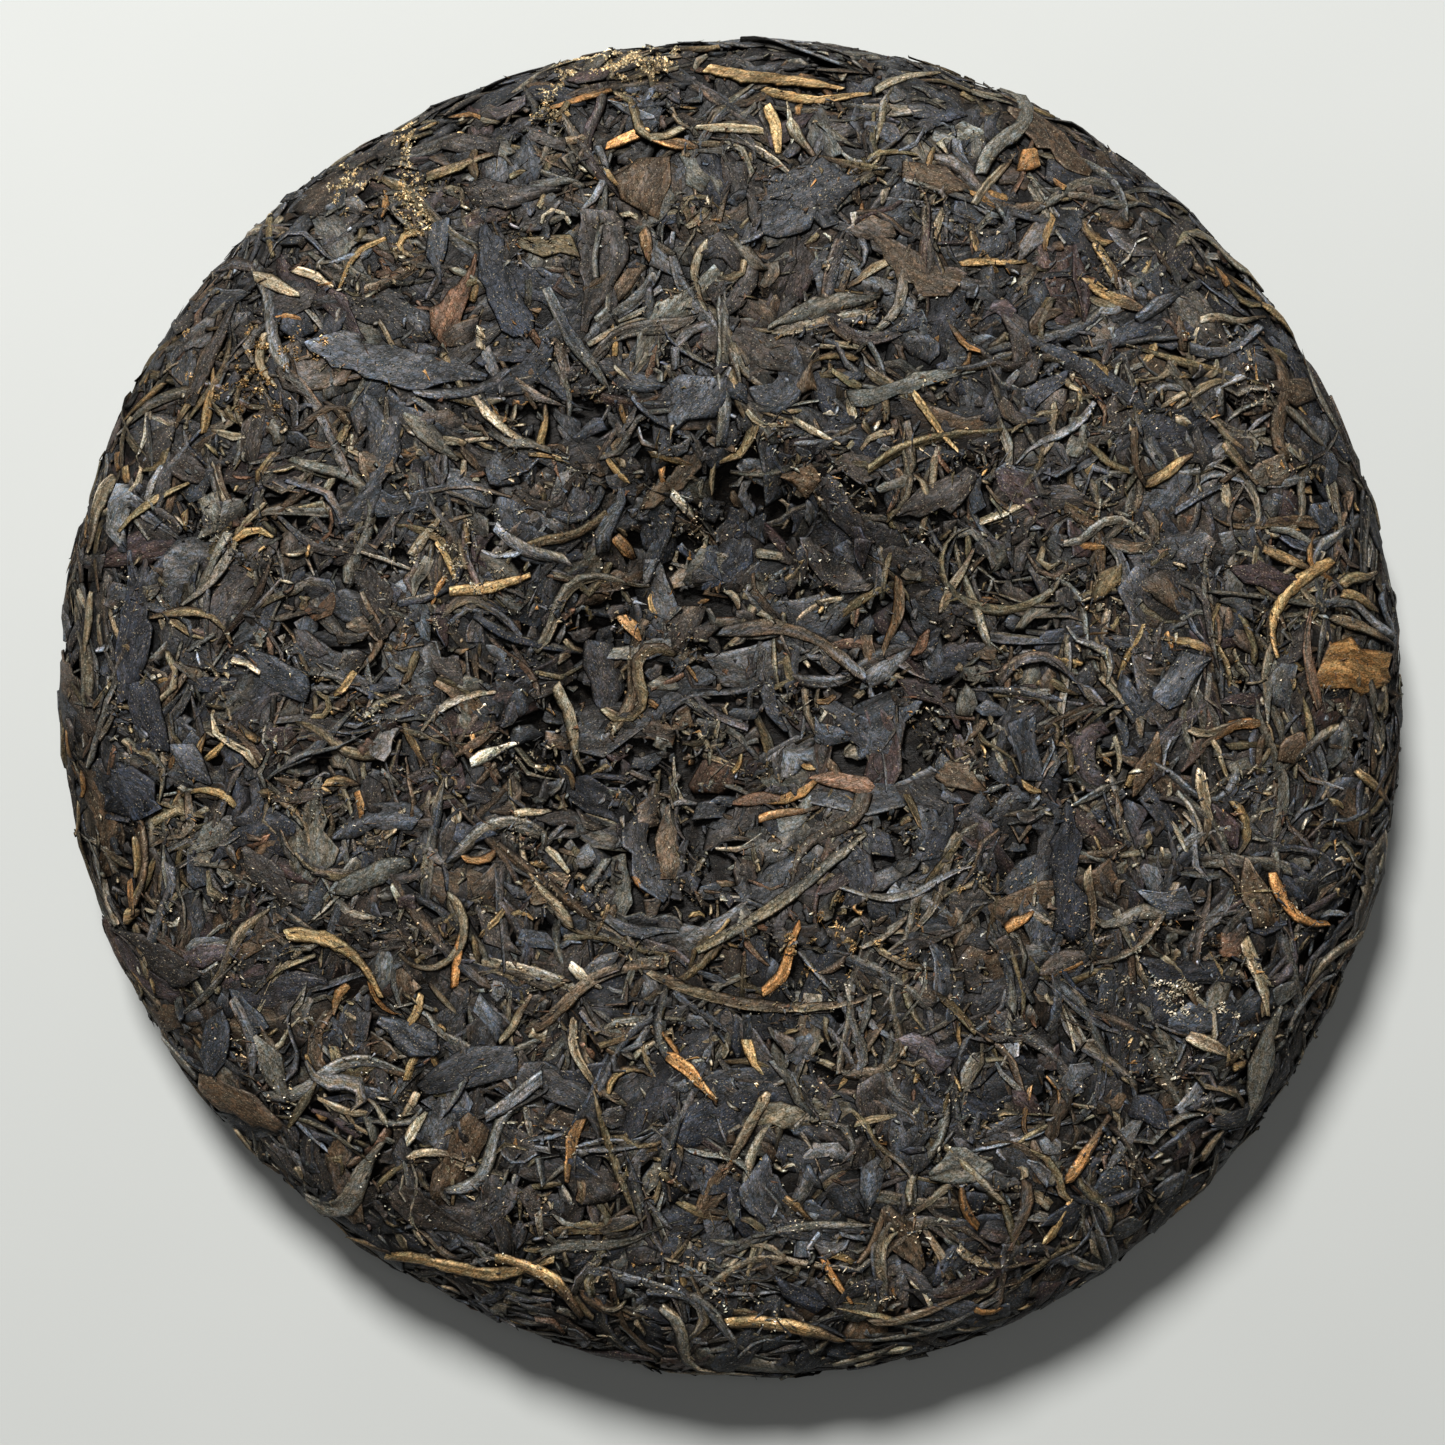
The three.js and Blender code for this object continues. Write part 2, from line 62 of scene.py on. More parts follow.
# How the pieces lie: what would stand above the press is pushed down into the pile, so
# that the tops are flush. A piece rests between the highest and the mean of what is under
# it, the firmer the nearer to the highest. At the rim pieces are looser, and some curl up,
# and their colours get painted shade
PRESS_LEVEL = (0.8, 1.6)
PRESS_FORCE = 0.88
TOP_PRESS = 0.6
FIRM = 0.5
TOP_FIRM = 0.85
RIM_SPAN = (84, 96)
RIM_LOOSE = 0.8
RIM_CURL = 0.7
RIM_SHADE = 0.4
BACK_SINK = 1.1
FRONT_SINK = 1.2
FLOOR_EASE = 0.12
DRAPE_REACH = 0.8
DRAPE_PLACES = (-1, -0.5, 0, 0.5, 1)
DRAPE_STATIONS = 5
BITE = 0.35
END_DROP = 0.35
END_SLANT = 0.6
SIDE_LIMITS = (0.5, 1.4)
CUP_LEVEL = 0.4

# The pile's grid, and the painted shade from it: what lies deep between the tops is painted
# dark, as the shade in the gaps, and what is shaded is painted warmer in tone, by powers for
# red, green, blue and how well lit it is
PILE_CELL = 0.3
PILE_MARGIN = 6.0
PILE_FINER = 3
SHADE_REACH = 3
SHADE_SPAN = (-0.25, 0.36)
DEEP_SHADE = 0.03
SHADE_TINT = np.array([1.0, 1.05, 1.14, 1.0])

# The rings round a piece: a steep skirt at each side, which goes down among the neighbours
# and is painted dark as the shade in the gaps, then the shoulders and the top, as shares of
# its half width and thickness. The edges beside the skirts are painted lighter or darker at
# random, as highlight and shade
SKIRT = 0.22
SKIRT_SHARE = 0.1
SKIRT_SHADE = 0.02
EDGE_HIGHLIGHT_AND_SHADE = (0.4, 1.9)
FLAT_SHARE = 0.84
FLAT_FOOT = -0.7
FLAT_SHOULDER = 0.6
FLAT_FALL = (0.3, 6)
FLAT_UNDER = 0.8
ROUND_LOW = 0.12
ROUND_SQUARENESS = 0.75
ROUND_FOOT = -0.5

# Tones on a piece: a second colour along and across it, and lighter and darker stretches
TONE_SPREAD = 0.16
WARM_SPREAD = 0.03
OWN_SHADE = 0.45
SECOND_ALONG = (0.35, 0.8)
SECOND_ACROSS = 0.3
STRIPED = 0.5
TONE_WAVER = 0.25
GRAIN_APART = 100

# The room of each piece in the map, round its cut ends and between neighbours
CAP_ROOM = 0.25
MAP_MARGIN = 0.12
MAP_SPARE = 1.06
LEAST_GIRTH = 0.02

# The ends of a torn piece: widths of the tips, and the shares of the length that narrow
POINTED_TIP = (0.03, 0.2)
POINTED_RUN = (0.3, 0.8)
TORN_TIP = (0.3, 0.85)
TORN_RUN = (0.03, 0.2)
UNEVEN_WIDTH = 0.12
SIDE_SPREAD = 0.12
END_START = -0.02
ROUGHNESS = 0.03

# Leaves: the spacing of points along and across, fewest and most of them, shares of pointed
# ends and ragged sides where strewn and where placed, then thickness, folds and hems
FINE_GRID = (1.25, 0.7)
UNDER_GRID = (2.5, 1.3)
BROAD_GRID = (3.2, 1.9)
FILLER_GRID = (2.0, 1.5)
LEAF_STATIONS = (6, 16)
LEAF_POINTS = (3, 9)
LEAF_WIGGLE = 0.15
STREWN_EDGES = (0.35, 0.2)
PLACED_EDGES = (0.7, 0.16)
PLACED_SPREAD = 0.05
LEAF_THICK = (0.25, 0.42)
LEAF_WAVER = 0.05
LEAF_FOLDS = (3, 8)
FOLD_PLACE = 0.9
FOLD_DRIFT = 0.6
FOLD_WIDTH = 0.26
FOLD_HEIGHT = 0.15
HEM_START = 0.95
HEM_CHANCE = 0.6
HEM_HEIGHT = (-0.05, 0.15)
HEM_TONE = (0.3, 1.0)
LEAF_ROLL = 0.05
LEAF_CUP = (0.03, 0.08)
KNOT_FOLDS = 5
KNOT_BEND = 60
KNOT_SHIFT = 0.3

# Flakes: straight, broken edges
FLAKE_SHARES = (0.0, 0.1, 0.4, 0.65, 0.9, 1.0)
FLAKE_WIDTHS = (0.35, 1.1)
FLAKE_POINTS = 3
FLAKE_THICK = (0.2, 0.4)
FLAKE_WAVER = (0.06, 0.05)
FLAKE_SPREAD = 0.25
FLAKE_ROLL = 0.15

# Strips: a rolled section, grooved and twisted, with a pale edge that winds along it: the leaf's paler
# colour, and partly a painted highlight
STRIP_STEP = 1.5
STRIP_STATIONS = (5, 18)
STRIP_WIGGLE = 0.45
STRIP_POINTED = 0.6
WIDE_STRIP = 1.4
STRIP_POINTS = (3, 5)
STRIP_FLATNESS = (0.3, 0.6)
STRIP_LEAN = 0.25
STRIP_TWIST = 0.4
STRIP_WAVER = 0.15
GROOVES = 2
GROOVE_TURN = (0.6, 2.5)
GROOVE_WIND = 0.8
GROOVE_DEPTH = (0.12, 0.45)
GROOVE_WIDTH = 0.35
PALE_TURN = (0.2, 2.9)
PALE_WIND = 0.7
PALE_TONE = (0.2, 1.0)
PALE_WIDTH = 0.4
CURL_BEND = 2.5

# Splinters: a ridge between two blunt ends
SPLINTER_SHARES = (0.0, 0.3, 0.7, 1.0)
SPLINTER_WIDTHS = (0.5, 1.0, 1.0, 0.4)
SPLINTER_UNEVEN = (0.5, 1.2)
SPLINTER_THICK = (0.9, 1.6)
SPLINTER_SPREAD = 0.3
SPLINTER_ROLL = 0.3
SPLINTER_BITE = 0.2

# Buds and stems: a slim, ribbed spindle, fuller at its foot and darker to its tip
BUD_STEP = 0.9
BUD_STATIONS = (6, 30)
BUD_WIGGLE = 0.12
BUD_POINTS = 4
BUD_SQUARENESS = 0.85
BUD_FULLNESS = 0.46
BUD_FOOT = (0.4, 0.8)
BUD_TIP = (0.15, 0.4)
BUD_FOOT_RUN = 0.12
BUD_TIP_RUN = (0.3, 0.8)
BUD_UNEVEN = 0.07
BUD_FLATNESS = (0.4, 0.65)
BUD_TWIST = 0.3
BUD_ROUGHNESS = 0.02
BUD_GROOVE = (1.0, 2.1)
BUD_GROOVE_DEPTH = 0.2
BUD_GROOVE_WIDTH = 0.4
BROWN_CHANCE = 0.6
BUD_SPREAD = 0.1
SECOND_SPREAD = 0.2
BUD_SIDE = (0.3, 2.8)
BUD_SIDE_TONE = 0.5
BUD_SIDE_WIDTH = 0.5
BUD_TIP_TONE = 0.8
BUD_TIP_START = 0.45
BUD_BITE = 0.25

# Where and how pieces are strewn: each takes the lowest of some random places, those that
# come later lie more on top, and all are smaller and turned any way in the middle
TRIES = {"under": 40, "broad": 70, "filler": 70, "leaf": 8, "flake": 14, "strip": 3,
         "curl": 6, "bud": 2, "splinter": 1}
LATER = {"strip": 0.8, "curl": 0.8, "bud": 0.6}
SPARSE_INSIDE = ("strip", "bud")
SPARSE_CHANCE = 0.6
SIZE_POWER = 0.45
ORDER_MIX = (0.25, 1.0)
UNDER_FIRST = 100
SMALLER_SPAN = (15, 80)
LENGTH_SHARES = (0.6, 0.48)
WIDTH_SHARES = (0.72, 0.33)
STRIP_LONGER = 1.15
SLIGHT_BEND = 38
STRONG_BEND = 95
SLIGHT_CHANCE = 0.7
ROUND_BAND = (26, 8)
ROUND_SPREAD = 22
BACK_OVERHANG = 5
FRONT_INSET = 1

# Strips in strands, side by side
STRAND_CHANCE = 0.6
STRAND_GAP = (0.7, 1.5)
STRAND_SLIDE = 4
STRAND_TURN = 12
STRAND_BEND = 60
STRAND_BEND_SPREAD = 15

# Drifts of litter: waves across the cake, and how keenly the litter keeps to them
LITTER_COUNT = 12
LITTER_WAVE = (7, 22)
LITTER_LEAST = 0.5
LITTER_SPREAD = 1.5
PLACES_EACH = 4
RIM_CLEAR = 12

# The core: its grid, depth, shade, and the waves of its crumbly relief
CORE_RINGS = 60
CORE_SIDES = 150
CORE_DEPTH = 2.3
CORE_SHADE = 0.12
CORE_RELIEF = 0.4
CRUMBLE_WAVES = 26
CRUMBLE_LENGTHS = (1.6, 6.0)

# Grains: the corners and faces of a plain one, and how each is pulled about
GRAIN_CORNERS = np.array([(1, 0.2, -0.6), (-0.8, 0.9, -0.6), (-0.6, -1, -0.6), (0.1, 0, 1)], float)
GRAIN_FACES = np.array([(0, 1, 3), (1, 2, 3), (2, 0, 3), (0, 2, 1)])
GRAIN_PULL = (0.55, 1.35)
GRAIN_TILT = 0.35
GRAIN_LIFT = 0.25

# Crumbs and dust: how many, and their sizes. Lengths are a least one and a gamma spread
CRUMB_COUNT = 5200
CRUMB_LENGTH = (0.4, 2.0, 0.6)
CRUMB_WIDTH = (0.2, 0.7)
CRUMB_THICK = (0.15, 0.35)
CRUMB_SPREAD = 0.25
DUST_COUNT = 6600
DUST_LENGTH = (0.25, 2.0, 0.12)
DUST_WIDTH = (0.2, 0.4)
DUST_THICK = 0.35
DUST_SPREAD = 0.3
PATCH_LONGER = 1.3
PATCH_INSET = 1.5
CLUMP_GRAINS = 14
CLUMP_SPREAD = 0.35

# Colours as they look in plain daylight, in sRGB
COLOURS = {
    "charcoal": (65, 67, 71),
    "blue_black": (53, 55, 61),
    "slate": (74, 76, 80),
    "brown_black": (62, 57, 53),
    "plum": (66, 54, 53),
    "umber": (89, 74, 58),
    "olive_grey": (103, 100, 91),
    "olive": (113, 100, 73),
    "ash": (108, 109, 111),
    "tan": (164, 150, 125),
    "gold": (187, 156, 109),
    "caramel": (160, 121, 75),
    "orange": (185, 138, 88),
    "rust": (110, 84, 66),
    "straw": (194, 184, 161),
    "pale_gold": (224, 203, 161),
}

# Palettes: the share of each colour
DARK_PALETTE = dict(charcoal=36, blue_black=20, brown_black=26, plum=7, ash=7, umber=12,
                    olive_grey=8)
FRONT_PALETTE = dict(charcoal=40, blue_black=14, brown_black=30, ash=8, olive_grey=8)
STRIP_PALETTE = dict(charcoal=28, blue_black=9, brown_black=20, olive_grey=15, ash=9, umber=13,
                     olive=9, tan=4, plum=3, rust=3)
CURL_PALETTE = dict(charcoal=16, brown_black=12, olive_grey=26, ash=14, umber=14, olive=12,
                    tan=12, straw=3, rust=8, caramel=4)
CHIP_PALETTE = dict(charcoal=30, brown_black=26, blue_black=10, umber=16, olive_grey=12, ash=8,
                    olive=6, tan=3, rust=7, caramel=3)
BUD_PALETTE = dict(tan=34, gold=26, olive=18, orange=10, straw=7, umber=10, rust=4)
SPLINTER_PALETTE = dict(olive_grey=26, ash=20, tan=24, umber=12, olive=10, straw=12, rust=3,
                        gold=8, charcoal=6)
EDGE_PALETTE = dict(olive_grey=34, ash=24, umber=20, tan=12, olive=10)
SECOND_PALETTE = dict(charcoal=36, blue_black=12, brown_black=18, umber=14, olive_grey=12,
                      ash=10, tan=2, rust=2)
DUST_PALETTE = dict(straw=58, pale_gold=4, tan=33, gold=5)

# Each sort of piece: what lays it, lengths, widths, colours
SORTS = {
    "under_leaves": ("under", (13, 27), (5, 9), DARK_PALETTE),
    "whole_leaves": ("leaf", (8, 20), (2.8, 6.4), DARK_PALETTE),
    "rolled_leaves": ("strip", (7, 21), (0.9, 2.0), STRIP_PALETTE),
    "leaf_parts": ("leaf", (3, 8), (1.6, 4), DARK_PALETTE),
    "thin_strips": ("strip", (3, 12), (0.45, 1.0), STRIP_PALETTE),
    "curls": ("curl", (1.6, 5.5), (0.45, 1.2), CURL_PALETTE),
    "chips": ("flake", (1.2, 3.6), (0.6, 1.8), CHIP_PALETTE),
    "buds": ("bud", (2.2, 10), (0.5, 1.35), BUD_PALETTE),
    "splinters": ("splinter", (0.7, 3), (0.2, 0.5), SPLINTER_PALETTE),
    "front_leaves": ("broad", (12, 28), (5, 10), FRONT_PALETTE),
    "front_parts": ("filler", (4, 9), (2.5, 5), FRONT_PALETTE),
}

# How many of each sort are strewn on each face
BACK_COUNTS = dict(under_leaves=370, whole_leaves=380, rolled_leaves=900, leaf_parts=1000,
                   thin_strips=1850, curls=800, chips=680, buds=480, splinters=2200)
FRONT_COUNTS = dict(front_leaves=560, front_parts=200, rolled_leaves=150, buds=40)

# Pieces that stand out on the back, placed as they lie there, by kind and colour. Each has its
# middle, heading in degrees from +X, length, bend in degrees and width
STANDOUTS = {
    "leaf": {
        "charcoal": ((-42, 63.6, -88, 9.2, 0, 3), (41.2, -6.4, 80, 9.4, 0, 6.2),
            (-74.3, -49.1, 80, 10.9, 8, 4.2), (-38, -51.6, 40, 10.9, 0, 7),
            (-76.1, -9.3, -50, 7.7, 0, 4.7), (10.9, 71.5, 20, 15, 0, 9),
            (48.7, 47.1, -34, 23.6, 0, 2.6), (-65, 4, -45, 12, 0, 6), (-6.8, 42, 60, 9, 0, 7)),
        "blue_black": ((-33.1, 59.4, -70, 17.2, 8, 4.7), (64.7, -38.3, -15, 15.1, 0, 7),
            (-85.2, 12.3, -85, 19, 8, 5), (-82.2, -2.5, -65, 11, 0, 5), (46.8, -24, -85, 20, 6, 4)),
        "slate": ((62.9, 3.7, 30, 9.9, 0, 7), (61.4, -28.2, -20, 8.7, 0, 6),
            (-46.1, -47.1, -30, 9.9, 0, 5.5), (-50.3, -17, 10, 13, -45, 3.5),
            (-46.2, 47.9, -15, 24.4, 14, 5.4)),
        "brown_black": ((-19.6, 60.3, -97, 18, -14, 6), (-31.3, 72, 2, 13.8, 0, 3.9),
            (28.7, 28.8, 25, 12.6, -8, 4), (-83, -36.2, -28, 15.1, -12, 4.5),
            (-65, -25.4, -45, 12.5, 0, 5)),
        "plum": ((75.6, 17.6, -10, 10.7, 0, 4.9), (49, 59.2, -85, 11.6, 0, 3.6),
            (69.4, -17.9, -60, 7.5, 0, 3.5), (-18.7, -94, -6, 15.5, 8, 2.4)),
        "umber": ((58, -8.8, 70, 9.9, 0, 3.7), (32.7, -11.3, -30, 7.7, 0, 3.7),
            (-12.4, 74, 70, 8, 0, 6.5), (27.6, 74.3, -31, 9.1, 0, 3.6), (45.3, 80, -39, 15.4, -8, 4.6),
            (80.5, 44.2, -10, 7.5, 0, 5.7), (73.8, -27.3, -73, 10.6, 0, 5),
            (-70, -57.8, -10, 10, 0, 5.5), (24.2, -76.2, -60, 11, 0, 6.5)),
        "olive_grey": ((-42.4, 37, -40, 10.5, 10, 3), (-50.3, -24, 17, 11, 0, 3),
            (12.4, 55.3, 16, 16.8, -6, 3), (25.3, 44.8, 13, 18.5, 5, 2.2),
            (-65.5, -52.3, -61, 10.6, 10, 4.4), (31.7, -65.5, 20, 8, 0, 5),
            (75.5, -51.1, 75, 17.5, 10, 3.8)),
        "olive": ((-25.8, 64.5, -5, 8.4, 0, 2.9), (52.6, 17.2, 55, 6.9, 0, 3)),
        "caramel": ((36.3, 71, -20, 6, 0, 2.6), (88.6, 4.4, -14, 11.4, 0, 7.2),
            (9, -12.6, 25, 8.5, 20, 2.2)),
        "orange": ((41.9, 77.3, 50, 4.4, 0, 3.4),),
        "rust": ((-38.8, 57.5, 66, 13.5, 10, 4.2), (3.6, -13.8, 5, 7, 0, 3),
            (15, -11.2, -12, 9, -20, 2.6)),
    },
    "strip": {
        "charcoal": ((-69.6, 62.1, -5, 9.6, -50, 2.2), (-23.9, 26.9, 15, 15.5, 12, 1.3),
            (-17.2, 25.9, 76, 10.5, 0, 2), (-38.2, 44.3, 14, 14.7, 60, 1.3),
            (43.3, 4, -8, 16.8, -120, 1.7), (70.7, 51.5, 20, 12.6, 60, 1.7)),
        "brown_black": ((-24.8, 29.7, 12, 14.7, 10, 1.3), (-70.3, -34.3, 51, 14.1, 0, 1.4),
            (-74.5, -40.7, 42, 12.8, 6, 1.8)),
        "umber": ((-22.7, 24, 22, 12.6, 15, 1.2), (-6.3, 51, 55, 9.2, -90, 1.3),
            (-76.4, 11.4, -18, 14.5, -85, 1.4), (-78.5, -17, 54, 12, 0, 1.2),
            (12.8, -18.8, 51, 17.3, -8, 2.1), (-69.5, -48.2, -81, 13.5, -42, 1.4),
            (-8, -93, -86, 10.8, -55, 1.3)),
        "olive_grey": ((-65.9, 55.2, -68, 16.8, 15, 2), (-48.7, 37.6, -80, 11.3, 10, 1.3),
            (-74.1, 19.3, 60, 10.9, 20, 1.5), (38.8, 82.4, -104, 19.6, -45, 2),
            (61.7, 71.8, -6, 20.8, -40, 1.5), (22.1, 56.4, -116, 17.9, 15, 1.4),
            (-74.3, 17.4, 47, 11, 29, 1.4), (53.5, 24, 0, 15.7, 5, 1.1),
            (7.2, -26.7, 35, 29.3, 12, 1.4), (51.1, -12.7, 25, 8.6, 0, 1.7),
            (-55.1, -68.1, 35, 18.5, 80, 3.1), (-6.9, -91.5, -52, 14.2, 20, 1.6),
            (-16.6, -76.2, 15, 21.8, -30, 2), (10.9, -74.3, 5, 17.4, -12, 1.3)),
        "olive": ((-13, 83, -28, 14, 25, 2), (21.1, 83.1, -108, 10.2, -28, 1.3),
            (70.7, 64, -14, 17.4, -105, 1.4), (-83.4, 42, 27, 13.6, -20, 1.4),
            (-82.2, 28.3, 33, 12.9, -34, 1.4), (-82.7, -9.5, -60, 12.4, -22, 1.4),
            (36.3, 17.8, 150, 31.5, -250, 1.3), (-13.7, 3.3, 36, 19.4, 15, 1.4),
            (-62.2, -58.4, -122, 10, 0, 1.4), (45.3, -67.2, -50, 11.5, 0, 1.3)),
        "ash": ((-19.7, 73.7, -105, 11.7, -70, 1.2), (-28.1, 21.5, -25, 12.2, 20, 1.3),
            (-57, 35.5, -10, 8, -110, 1.2), (-5, 55.7, -69, 23.5, 20, 1.7),
            (45.2, 37.7, 39, 14.8, 0, 1), (50.9, 6.9, -56, 12, -15, 2), (23.4, -25.6, 6, 24, 5, 1.2),
            (-56.5, -54, -55, 14, -80, 2.1), (-30.4, -55.2, 36, 10.2, 0, 1.6)),
        "rust": ((81.9, 6.1, -86, 15.5, 22, 1.5),),
    },
    "bud": {
        "olive": ((-66.6, 66.7, -79, 7.5, 0, 1.3), (-39, 76.2, 21, 10.3, 0, 1.4),
            (89.3, 17.8, 20, 6.8, 0, 1.8), (75.2, -6.6, -9, 12.1, -33, 1.1)),
        "tan": ((-4.8, 59.8, -92, 10.5, 75, 1.1), (9.3, 79.8, -56, 6.7, 0, 1.7),
            (24.7, 89.3, 21, 10.5, -25, 1.3), (71.6, 54.7, 8, 10.8, -20, 1.3),
            (11.7, 37.7, -29, 7.6, 0, 1), (-64.7, 59, -22, 7.5, 0, 1.8),
            (-59.7, 60.3, -26, 6.6, 0, 1.3), (-91.5, 27.1, -111, 12, 8, 2.2),
            (-43, 23.9, 53, 7.7, 0, 1.3), (-41.7, -33.3, -133, 19, -205, 1.3),
            (31.1, 17.1, 63, 10.4, 0, 1.1), (-22.9, -3.9, -71, 13.2, 10, 1.6),
            (-28, -15.4, 8, 5.4, 0, 1.1), (-24.6, -22.4, -47, 4.9, 0, 1.1), (4.4, -41, -5, 34, 52, 1.6),
            (90, 10.3, -20, 10.9, -10, 1.5), (66, -15.1, -92, 10.8, -37, 1.6),
            (50.1, -28.6, -86, 9.8, 0, 1.1), (74.2, -39.1, -70, 12, -14, 2),
            (67.8, -48.8, -25, 7.7, 0, 2.1), (-41.9, -64.2, 0, 9, -58, 1.2),
            (-21.3, -50.1, -71, 12.2, 45, 1.3), (1.5, -60.8, -118, 13.1, 6, 1.4),
            (26.9, -86.4, 17, 16, 30, 1.2), (36.8, -79, -9, 12, 100, 1.4),
            (68.3, -62.9, 60, 6.4, 0, 1.3)),
        "gold": ((5.9, 88.9, -9, 20, 8, 1.8), (11.7, 86.5, -2, 16, 25, 1.3),
            (5.6, 81, -77, 7.7, -30, 1.5), (36.8, 62, 3, 9.6, 0, 1.1), (52.9, 61.5, -64, 7.8, -15, 1.3),
            (54.2, 57.2, -28, 10.7, 30, 1.8), (79.6, 54.5, -37, 9, -20, 1.6),
            (61.3, 32.8, 31, 8.1, 10, 1.5), (28.1, 39.3, -52, 10.6, 12, 0.9),
            (-34.3, 16.4, 12, 12, 20, 1.6), (-55, -11.4, 0, 5.1, 0, 1.3),
            (-55.8, -36, -33, 17.6, -72, 2), (78.7, 20.1, -22, 8.9, 0, 1.4),
            (79.2, 13.9, -120, 18.5, 80, 1.8), (89.5, 14.5, -20, 7, 0, 1.4),
            (91.9, -12.4, -40, 7.9, 0, 1.3), (-37.7, -80.3, 2, 25.5, 15, 2),
            (-27.1, -82.8, -36, 16.3, -60, 2), (2.8, -50.4, -63, 5.9, 58, 1.5),
            (7.3, -89.3, -10, 17.2, -40, 1.9), (45.8, -73.9, 59, 8.1, 57, 1.3),
            (-85.8, -30.2, 15, 2.3, 0, 2.1)),
        "caramel": ((-12.3, 64, -75, 4.7, 0, 1.7),),
        "orange": ((-15.2, 80.1, 20, 6.7, 0, 1.5), (-8.5, 79.1, -12, 7, 0, 1.5),
            (-86, -28.2, -80, 5.2, 0, 1), (-39, -35.9, 83, 7.9, 0, 1.3),
            (-15.2, 21.5, -49, 4.2, 0, 1.7), (-14.5, 10.3, -54, 4.6, 0, 1.9),
            (22.3, 11.9, -101, 11, -10, 1.6), (7, -35.9, 61, 11.7, 24, 1.6),
            (80, -28.9, -39, 13.2, 78, 1.6), (40.4, -30.5, 33, 5, 0, 1.8),
            (-5.7, -52.9, -41, 9.8, 0, 1.7), (-23, -63.5, -102, 9.6, 20, 1.7),
            (50.3, -63, 59, 11.4, -6, 1.6), (8, -15.6, 12, 9, 0, 1.2)),
        "rust": ((26.5, 8.7, 63, 4.1, 0, 1.3),),
        "straw": ((-49.7, -0.3, 30, 6.4, 0, 1.1), (-6.8, 27, -49, 5.6, 0, 1.4),
            (0, 14.5, -58, 3.5, -70, 1), (-33.5, -6.9, 24, 7.6, 0, 2), (-20.7, -38.9, -37, 5.8, 0, 1.8),
            (-44.8, -59.7, 55, 5.6, 0, 1.8)),
    },
    "knot": {
        "blue_black": ((-86.3, -12.7, 0, 7.2, 0, 5.2),),
    },
}

# Patches of golden dust: middle, spread along and across, heading, grains, colour
DUST_PATCHES = (
    (-15.7, 92.2, 4.5, 1.6, -10, 800, "pale_gold"),
    (-26.3, 87, 3.5, 1.0, 70, 380, "pale_gold"),
    (-47, 76, 4.5, 0.9, 95, 620, "pale_gold"),
    (-45.5, 68, 3.5, 1.2, 80, 300, "pale_gold"),
    (-55.5, 73.5, 2.2, 1.1, 40, 260, "pale_gold"),
    (-67, 48.5, 5.5, 4, 30, 500, "gold"),
    (-38.5, 20.5, 5, 3.5, 40, 380, "straw"),
    (64, -41, 4.5, 2.4, -20, 420, "straw"),
    (15, -33, 7, 4, 20, 260, "gold"),
)

# The looks: how closely the fibres lie along and across, their tones, how dark the painted
# shade in creases is, the bump's depth in millimetres, and where given the tones of pits, how
# strong the specks are, and how closely the facets that a pressed surface breaks into lie,
# their tones and how dark the painted shade along their edges is
LOOKS = {
    "pressed_leaf": dict(fibres=(0.5, 1.6, 1.0), tones=(0.76, 1.26), crease_shade=0.45,
                         wrinkle=0.12, pitted=(0.5, 1.5)),
    "rolled_leaf": dict(fibres=(0.2, 2.2, 1.0), tones=(0.55, 1.4), crease_shade=0.6,
                        wrinkle=0.2, facets=(0.3, 1.3, 1.0)),
    "bud_and_stem": dict(fibres=(0.12, 2.3, 1.0), tones=(0.38, 1.25), crease_shade=0.8,
                         wrinkle=0.2, facets=(0.2, 1.6, 1.0), facet_tones=(0.8, 1.15),
                         facet_edge_shade=0.6),
    "golden_dust": dict(fibres=(1.0, 1.0, 1.0), tones=(0.85, 1.15), crease_shade=1.0,
                        wrinkle=0.03, speckle=0.0),
}
LOOK_OF = {"rolled_leaves": "rolled_leaf", "thin_strips": "rolled_leaf", "curls": "rolled_leaf",
           "splinters": "rolled_leaf", "standout_strips": "rolled_leaf",
           "buds": "bud_and_stem"}

# Noise over the grain: how closely it lies along each axis, its detail and roughness, and
# the spans read from it
FIBRE_DETAIL = (5.0, 0.65)
FOLDS = ((0.55, 0.8, 1.3), 4.0, 0.6)
MOTTLE = ((0.9, 1.6, 0.7), 3.0, 0.6)
PITS = ((3.5, 4.5, 1.0), 3.0, 0.7)
SPECKS = ((4.2, 4.6, 1.7), 1.0, 0.4)
BENDS = ((0.9, 0.9, 0.9), 3.0, 0.6)
MID_NOISE = 0.5
CREASE_SPAN = (0.0, 0.045)
NOISE_SPAN = (0.36, 0.64)
MOTTLE_SPAN = (0.35, 0.65)
WARM_TONES = (0.86, 1.16)
COOL_TONES = (1.12, 0.86)
DARK_WARMTH = 1.2
BEND_REACH = 2.5
FACET_EDGE_SPAN = (0.0, 0.07)
SPECK_SPAN = (0.66, 0.76)
ROUGH_SPAN = (0.3, 0.7)
ROUGH_TO_SMOOTH = (0.7, 0.38)
SPECULAR = 0.16
RELIEF_SHARES = (0.8, 0.25, 0.3, 0.5)

# The plain floor, the soft lamps (name, place, size, power) and the faint light all round,
# in metres and watts
FLOOR_HALF = 3.0
FLOOR_COLOURS = ((0.43, 0.44, 0.42, 1.0), (0.48, 0.485, 0.465, 1.0))
FLOOR_CLOUDS = ((9.0, 9.0, 9.0), 3.0, 0.6)
FLOOR_ROUGHNESS = 0.85
LAMPS = (("window", (-0.26, 0.9, 1.0), 0.4, 36.0), ("ceiling", (0.05, 0.1, 1.6), 0.8, 3.0))
AROUND_COLOUR = (0.95, 0.98, 1.0, 1.0)
AROUND_STRENGTH = 0.05

